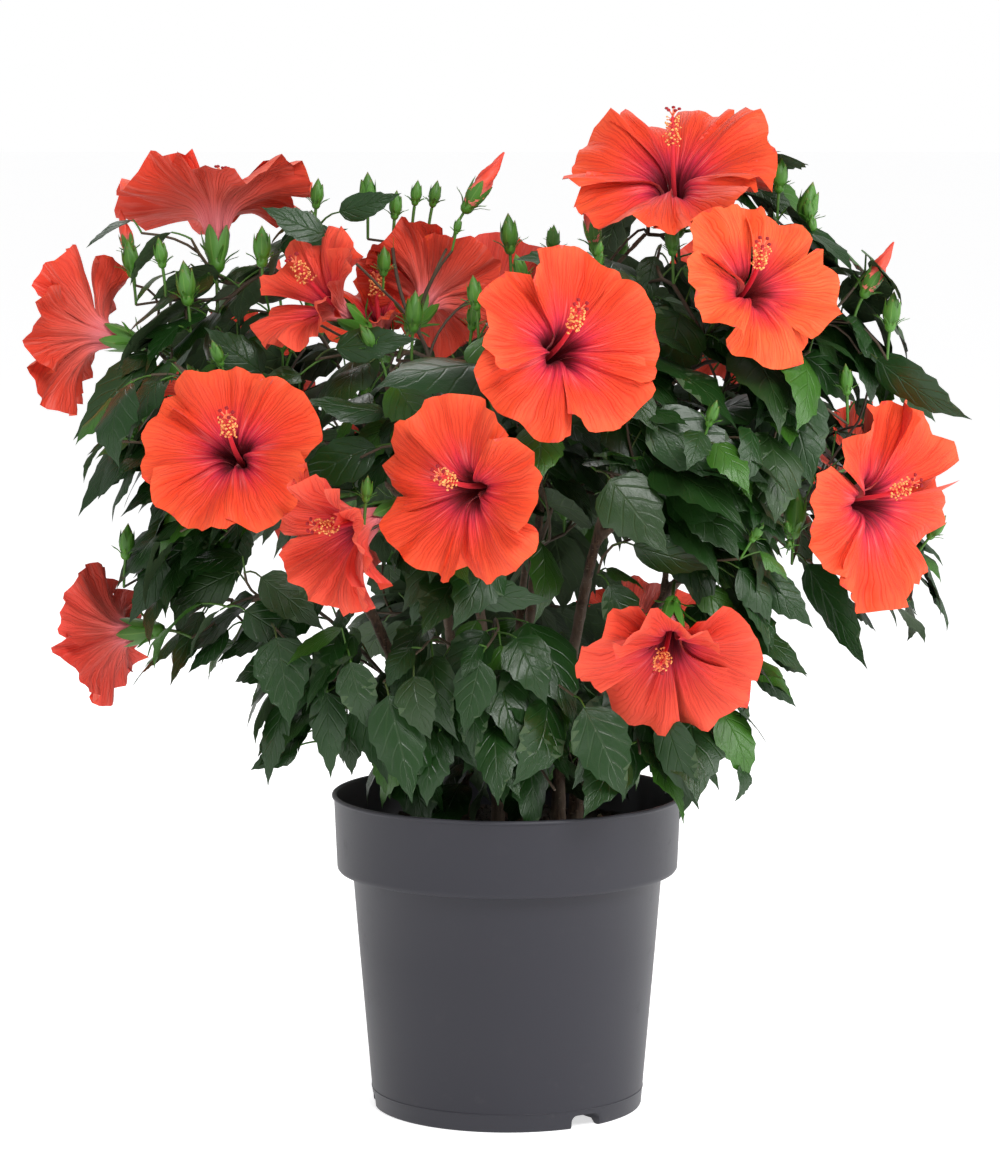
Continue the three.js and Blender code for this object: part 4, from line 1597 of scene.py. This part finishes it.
@functools.cache
def stalk_material():
    look = colours()
    return speckled("green_stalk", look.green, (0.06, 0.085, 0.02), 0.5)


@functools.cache
def twig_material():
    look = colours()
    return speckled("young_wood", look.twig, (0.085, 0.060, 0.032), 0.7)


# ---- bark, soil and pot -------------------------------------------------------------------

def deselect():
    bpy.ops.object.select_all(action="DESELECT")


def apply_modifiers(piece):
    deselect()
    piece.select_set(True)
    bpy.context.view_layer.objects.active = piece
    for modifier in list(piece.modifiers):
        bpy.ops.object.modifier_apply(modifier=modifier.name)


def modifier(piece, kind, **settings):
    made = piece.modifiers.new(kind.title(), kind)
    for name, value in settings.items():
        setattr(made, name, value)
    return made


def clouds(name, scale, depth=3):
    texture = bpy.data.textures.new(name, "CLOUDS")
    texture.noise_scale = scale
    texture.noise_depth = depth
    return texture


def set_material(piece, material):
    piece.data.materials.clear()
    piece.data.materials.append(material)


def joined_copy(name, nodes):
    """One new object made of merged copies of the named solids."""
    deselect()
    copies = []
    for node in nodes:
        mesh = bpy.data.objects[node].data.copy()
        made = bpy.data.objects.new(node + "_copy", mesh)
        bpy.context.scene.collection.objects.link(made)
        made.select_set(True)
        copies.append(made)
    bpy.context.view_layer.objects.active = copies[0]
    bpy.ops.object.join()
    piece = bpy.context.active_object
    piece.name = name
    bpy.ops.object.mode_set(mode="EDIT")
    bpy.ops.mesh.select_all(action="SELECT")
    bpy.ops.mesh.remove_doubles(threshold=0.02 * MM)
    bpy.ops.object.mode_set(mode="OBJECT")
    return piece


FOOT_HEIGHT = 3.0 * MM         # the stems' cut feet up to here above the compost
FOOT_SINK = 7.0 * MM           # are sunk this far into it


class SHRUB_OT_bark(ShrubOperator, bpy.types.Operator):
    """Woody stems and boughs grown together, with the relief of their bark"""

    bl_idname = "shrub.bark"
    bl_label = "Stems and boughs"

    def execute(self, context):
        limbs = names("stem_") + names("bough_")
        bark = joined_copy("stems_and_boughs", limbs)
        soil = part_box("root_ball")[1][2]
        for vertex in bark.data.vertices:
            if vertex.co.z < soil + FOOT_HEIGHT:
                vertex.co.z -= FOOT_SINK
        modifier(bark, "DISPLACE", strength=0.5 * MM, mid_level=0.0)
        modifier(bark, "REMESH", mode="VOXEL", voxel_size=1.25 * MM, use_smooth_shade=True)
        modifier(bark, "SMOOTH", factor=0.5, iterations=5)
        modifier(bark, "DISPLACE", strength=1.3 * MM, mid_level=0.5, texture_coords="LOCAL",
                 texture=clouds("bark_swell", 0.011))
        modifier(bark, "DISPLACE", strength=0.7 * MM, mid_level=0.5, texture_coords="LOCAL",
                 texture=clouds("bark_ridges", 0.0028))
        apply_modifiers(bark)
        set_material(bark, bark_material())
        declare(bark, "bark", *limbs)
        return {"FINISHED"}


def turned(name, sides, profile):
    """A ring that is extruded and scaled step by step through radii and heights."""
    radius, height = profile[0]
    deselect()
    bpy.ops.mesh.primitive_circle_add(vertices=sides, radius=radius, location=(0, 0, height))
    piece = bpy.context.active_object
    piece.name = name
    bpy.ops.object.transform_apply(location=True, rotation=True, scale=True)
    bpy.ops.object.mode_set(mode="EDIT")
    bpy.ops.mesh.select_all(action="SELECT")
    for following, level in profile[1:]:
        rise = (0, 0, level - height)
        bpy.ops.mesh.extrude_region_move(TRANSFORM_OT_translate={"value": rise})
        factor = following / radius
        bpy.ops.transform.resize(value=(factor, factor, 1), center_override=(0, 0, level))
        radius, height = following, level
    bpy.ops.mesh.edge_face_add()
    bpy.ops.mesh.select_all(action="DESELECT")
    bpy.ops.mesh.select_non_manifold()
    bpy.ops.mesh.edge_face_add()
    bpy.ops.mesh.select_all(action="SELECT")
    bpy.ops.mesh.normals_make_consistent(inside=False)
    bpy.ops.object.mode_set(mode="OBJECT")
    return piece


def notch_cutter(turn, reach, width, height):
    """A rounded bar that cuts one drain notch at the foot of the pot."""
    deselect()
    bpy.ops.mesh.primitive_cube_add(size=1, location=(reach, 0, 0), scale=(0.072, width, height * 2))
    cutter = bpy.context.active_object
    bpy.ops.object.transform_apply(location=True, rotation=True, scale=True)
    bpy.ops.object.mode_set(mode="EDIT")
    bpy.ops.mesh.select_all(action="DESELECT")
    bpy.ops.object.mode_set(mode="OBJECT")
    for edge in cutter.data.edges:
        first, second = (cutter.data.vertices[index].co for index in edge.vertices)
        edge.select = abs(first.x - second.x) > 0.01
    bpy.ops.object.mode_set(mode="EDIT")
    bpy.ops.mesh.bevel(offset=height * 0.45, segments=5)
    bpy.ops.object.mode_set(mode="OBJECT")
    cutter.rotation_euler.z = turn
    bpy.ops.object.transform_apply(location=True, rotation=True, scale=True)
    return cutter


class SHRUB_OT_pot(ShrubOperator, bpy.types.Operator):
    """Nursery pot with a lip band, a rolled rim, a mould line and drain notches"""

    bl_idname = "shrub.pot"
    bl_label = "Pot"

    def execute(self, context):
        size = sizes()
        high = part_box("pot")[1]
        rim, top = high.x, high.z
        base, body = size.pot_base, size.pot_body
        lip_foot = top - size.lip_height
        lip_low, lip_high = rim - 3.6 * MM, rim - 1.6 * MM
        wall = size.pot_wall

        def side(level):
            return base + (body - base) * level / lip_foot

        profile = [
            (base * 0.30, 3.0 * MM), (base - 9 * MM, 3.0 * MM), (base - 6 * MM, 0.4 * MM),
            (base - 4.5 * MM, 0.0), (base - 1.4 * MM, 0.0), (base - 0.4 * MM, 0.5 * MM),
            (side(1.6 * MM), 1.6 * MM), (side(12 * MM), 12.0 * MM),
            (side(12 * MM) + 0.35 * MM, 12.3 * MM), (side(13 * MM) + 0.35 * MM, 12.9 * MM),
            (side(13 * MM), 13.2 * MM),
            (side(60 * MM), 60 * MM), (side(110 * MM), 110 * MM),
            (body - 0.3 * MM, lip_foot - 1.2 * MM), (body + 0.4 * MM, lip_foot - 0.2 * MM),
            (lip_low - 3.4 * MM, lip_foot), (lip_low - 1.2 * MM, lip_foot + 0.6 * MM),
            (lip_low - 0.2 * MM, lip_foot + 2.0 * MM), (lip_low, lip_foot + 4.0 * MM),
            (lip_high, top - 3.4 * MM), (lip_high + 0.3 * MM, top - 2.7 * MM),
            (rim - 0.2 * MM, top - 2.3 * MM), (rim, top - 1.5 * MM), (rim - 0.3 * MM, top - 0.6 * MM),
            (rim - 1.1 * MM, top), (rim - 2.2 * MM, top), (rim - 3.2 * MM, top - 0.6 * MM),
            (lip_high - wall + 0.2 * MM, top - 2.0 * MM), (lip_low - wall, lip_foot + 6 * MM),
            (lip_low - wall - 1.5 * MM, lip_foot + 3 * MM), (body - wall, lip_foot - 2 * MM),
            (side(12 * MM) - wall, 12.5 * MM), (side(12 * MM) - wall - 2 * MM, 12 * MM),
            (base * 0.3, 12 * MM),
        ]
        pot = turned("nursery_pot", 120, profile)
        for slot in range(3):
            turn = math.radians(-55 - 120 * slot)
            cutter = notch_cutter(turn, base, size.notch_width, size.notch_height)
            modifier(pot, "BOOLEAN", operation="DIFFERENCE", object=cutter, solver="EXACT")
            apply_modifiers(pot)
            bpy.data.objects.remove(cutter)
        modifier(pot, "BEVEL", width=0.35 * MM, segments=2, angle_limit=math.radians(40))
        apply_modifiers(pot)
        deselect()
        pot.select_set(True)
        context.view_layer.objects.active = pot
        bpy.ops.object.shade_smooth_by_angle(angle=math.radians(32))
        set_material(pot, pot_material())
        declare(pot, "pot", "pot")
        return {"FINISHED"}


CRUMBS = 620


class SHRUB_OT_soil(ShrubOperator, bpy.types.Operator):
    """Compost with a rough, crumbly top that fills the pot"""

    bl_idname = "shrub.soil"
    bl_label = "Compost"

    def execute(self, context):
        size = sizes()
        low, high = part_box("root_ball")
        rim = high.x
        lip_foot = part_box("pot")[1].z - size.lip_height
        foot = size.pot_base - size.pot_wall - 0.6 * MM
        radii = [rim * share for share in (0.97, 0.9, 0.82, 0.73, 0.64, 0.55, 0.46, 0.37, 0.28, 0.19, 0.1)]
        dome = high.z - 3.0 * MM
        profile = [(foot * 0.4, low.z), (foot, low.z), (size.pot_body - size.pot_wall - 0.8 * MM, lip_foot),
                   (rim - 0.5 * MM, dome)]
        profile += [(radius, dome + 3.0 * MM * (1 - radius / rim)) for radius in radii]
        soil = turned("compost", 84, profile)
        modifier(soil, "SUBSURF", subdivision_type="SIMPLE", levels=2, render_levels=2)
        apply_modifiers(soil)
        top = soil.vertex_groups.new(name="top")
        top.add([v.index for v in soil.data.vertices if v.co.z > dome - 0.1 * MM], 1.0, "REPLACE")
        for name, scale, strength in (("clods", 0.02, 5.0), ("crumbs", 0.004, 2.6)):
            modifier(soil, "DISPLACE", strength=strength * MM, mid_level=0.5, direction="Z",
                     texture_coords="LOCAL", texture=clouds(name, scale), vertex_group="top")
        apply_modifiers(soil)
        bpy.ops.object.shade_smooth()
        set_material(soil, soil_material())
        declare(soil, "soil", "root_ball")
        random = np.random.default_rng(size.seed + 3)
        crumbs = Cloud()
        shape = icosphere()
        for _ in range(CRUMBS):
            reach = (rim - 6 * MM) * math.sqrt(random.random())
            turn = random.random() * math.tau
            grain = random.uniform(0.6, 2.4) * MM * random.choice([1.0, 1.0, 1.5])
            spot = np.array([reach * math.cos(turn), reach * math.sin(turn),
                             dome + 2.6 * MM * (1 - reach / rim) + random.uniform(0, 1.6) * MM])
            axes = basis(random.normal(size=3), random.normal(size=3))
            pale = random.random() < 0.05
            add_grain(crumbs, shape, spot, axes * random.uniform(0.5, 1.2, 3) * grain,
                      (int(random.integers(4)), 3 if pale else 0))
        loose = crumbs.build("compost_crumbs", crumb_material())
        declare(loose, "soil")
        return {"FINISHED"}


@functools.cache
def crumb_material():
    shade = Shade("crumbs")
    look = colours()
    column, row, _, _ = shade.tiles()
    chance = shade.chance(shade.vector(column, row, 0.2))
    grain = shade.noise(shade.place(), 700.0, 3.0)
    base = shade.mix(chance, look.soil, (0.05, 0.032, 0.02))
    base = shade.mix(row.over(2.5), base, (0.34, 0.27, 0.18))
    return shade.finish(base, 0.85 + grain * 0.1, grain, 0.6, 0.6 * MM)


# ---- stage --------------------------------------------------------------------------------

def area_light(name, place, target, width, height, power, tint=(1.0, 1.0, 1.0)):
    light = bpy.data.lights.new(name, "AREA")
    light.shape = "RECTANGLE"
    light.size, light.size_y = width, height
    light.energy = power
    light.color = tint
    lamp = bpy.data.objects.new(name, light)
    lamp.location = place
    lamp.rotation_euler = (Vector(target) - Vector(place)).to_track_quat("-Z", "Y").to_euler()
    bpy.context.scene.collection.objects.link(lamp)
    return lamp


CAMERA_PLACE = (-0.005, -3.0, 0.7164)
CAMERA_TILT = 0.1186           # downwards, in radians
CAMERA_LENS = 137.0
CAMERA_SENSOR = 36.0
FLOOR_GLOW = 0.64
WORLD_LIGHT = 0.42             # what the white world gives as light; the camera sees it as 1


class SHRUB_OT_stage(ShrubOperator, bpy.types.Operator):
    """Pale floor, soft studio light and the camera"""

    bl_idname = "shrub.stage"
    bl_label = "Stage"

    def execute(self, context):
        deselect()
        bpy.ops.mesh.primitive_plane_add(size=60, location=(0, 0, 0))
        floor = context.active_object
        floor.name = "floor"
        shade = Shade("pale_floor")
        soft = shade.noise(shade.place(), 0.6, 2.0)
        white = shade.mix(soft, (0.80, 0.80, 0.81), (0.82, 0.82, 0.825))
        glow = {"Emission Color": (1.0, 1.0, 1.0, 1.0), "Emission Strength": FLOOR_GLOW}
        set_material(floor, shade.finish(white, 0.9, **glow))
        floor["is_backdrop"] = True
        world = bpy.data.worlds.new("studio")
        world.use_nodes = True
        background = world.node_tree.nodes["Background"]
        background.inputs[0].default_value = (1.0, 1.0, 1.0, 1)
        seen = world.node_tree.nodes.new("ShaderNodeLightPath")
        share = world.node_tree.nodes.new("ShaderNodeMapRange")
        share.inputs["To Min"].default_value = WORLD_LIGHT
        share.inputs["To Max"].default_value = 1.0
        world.node_tree.links.new(seen.outputs["Is Camera Ray"], share.inputs["Value"])
        world.node_tree.links.new(share.outputs["Result"], background.inputs[1])
        context.scene.world = world
        context.scene.view_settings.view_transform = "Standard"
        low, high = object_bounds()
        middle = (low + high) / 2
        area_light("key", (0.9, -2.2, 2.3), middle, 1.2, 1.2, 64)
        area_light("side", (2.3, -0.6, 1.2), middle, 1.0, 1.8, 30)
        area_light("fill", (-1.9, -2.0, 1.5), middle, 1.2, 1.2, 5)
        area_light("back", (-0.4, 2.0, 2.4), middle, 2.0, 1.2, 26)
        area_light("edge", (-2.2, -0.3, 0.7), middle, 0.16, 1.4, 3)
        camera = bpy.data.cameras.new("camera")
        camera.lens = CAMERA_LENS
        camera.sensor_width = CAMERA_SENSOR
        eye = bpy.data.objects.new("camera", camera)
        eye.location = CAMERA_PLACE
        eye.rotation_euler = (math.pi / 2 - CAMERA_TILT, 0, 0)
        context.scene.collection.objects.link(eye)
        context.scene.camera = eye
        return {"FINISHED"}


class SHRUB_PT_panel(bpy.types.Panel):
    """Lists the pieces of the shrub in the order they are made"""

    bl_label = "Hibiscus shrub"
    bl_space_type = "VIEW_3D"
    bl_region_type = "UI"
    bl_category = "Hibiscus"

    def draw(self, context):
        for group in (context.scene.shrub_sizes, context.scene.shrub_colours):
            box = self.layout.box()
            for name in group.__annotations__:
                box.prop(group, name)
        for operator in OPERATORS:
            self.layout.operator(operator.bl_idname)


OPERATORS = (
    SHRUB_OT_pot, SHRUB_OT_soil, SHRUB_OT_bark, SHRUB_OT_twigs, SHRUB_OT_leaves,
    SHRUB_OT_blossoms, SHRUB_OT_stage,
)
CLASSES = (ShrubSizes, ShrubColours, *OPERATORS, SHRUB_PT_panel)


def register():
    for kind in CLASSES:
        bpy.utils.register_class(kind)
    bpy.types.Scene.shrub_sizes = PointerProperty(type=ShrubSizes)
    bpy.types.Scene.shrub_colours = PointerProperty(type=ShrubColours)


def unregister():
    del bpy.types.Scene.shrub_sizes
    del bpy.types.Scene.shrub_colours
    for kind in reversed(CLASSES):
        bpy.utils.unregister_class(kind)


def main():
    register()
    for operator in OPERATORS:
        group, name = operator.bl_idname.split(".")
        getattr(getattr(bpy.ops, group), name)()


if __name__ == "__main__":
    main()
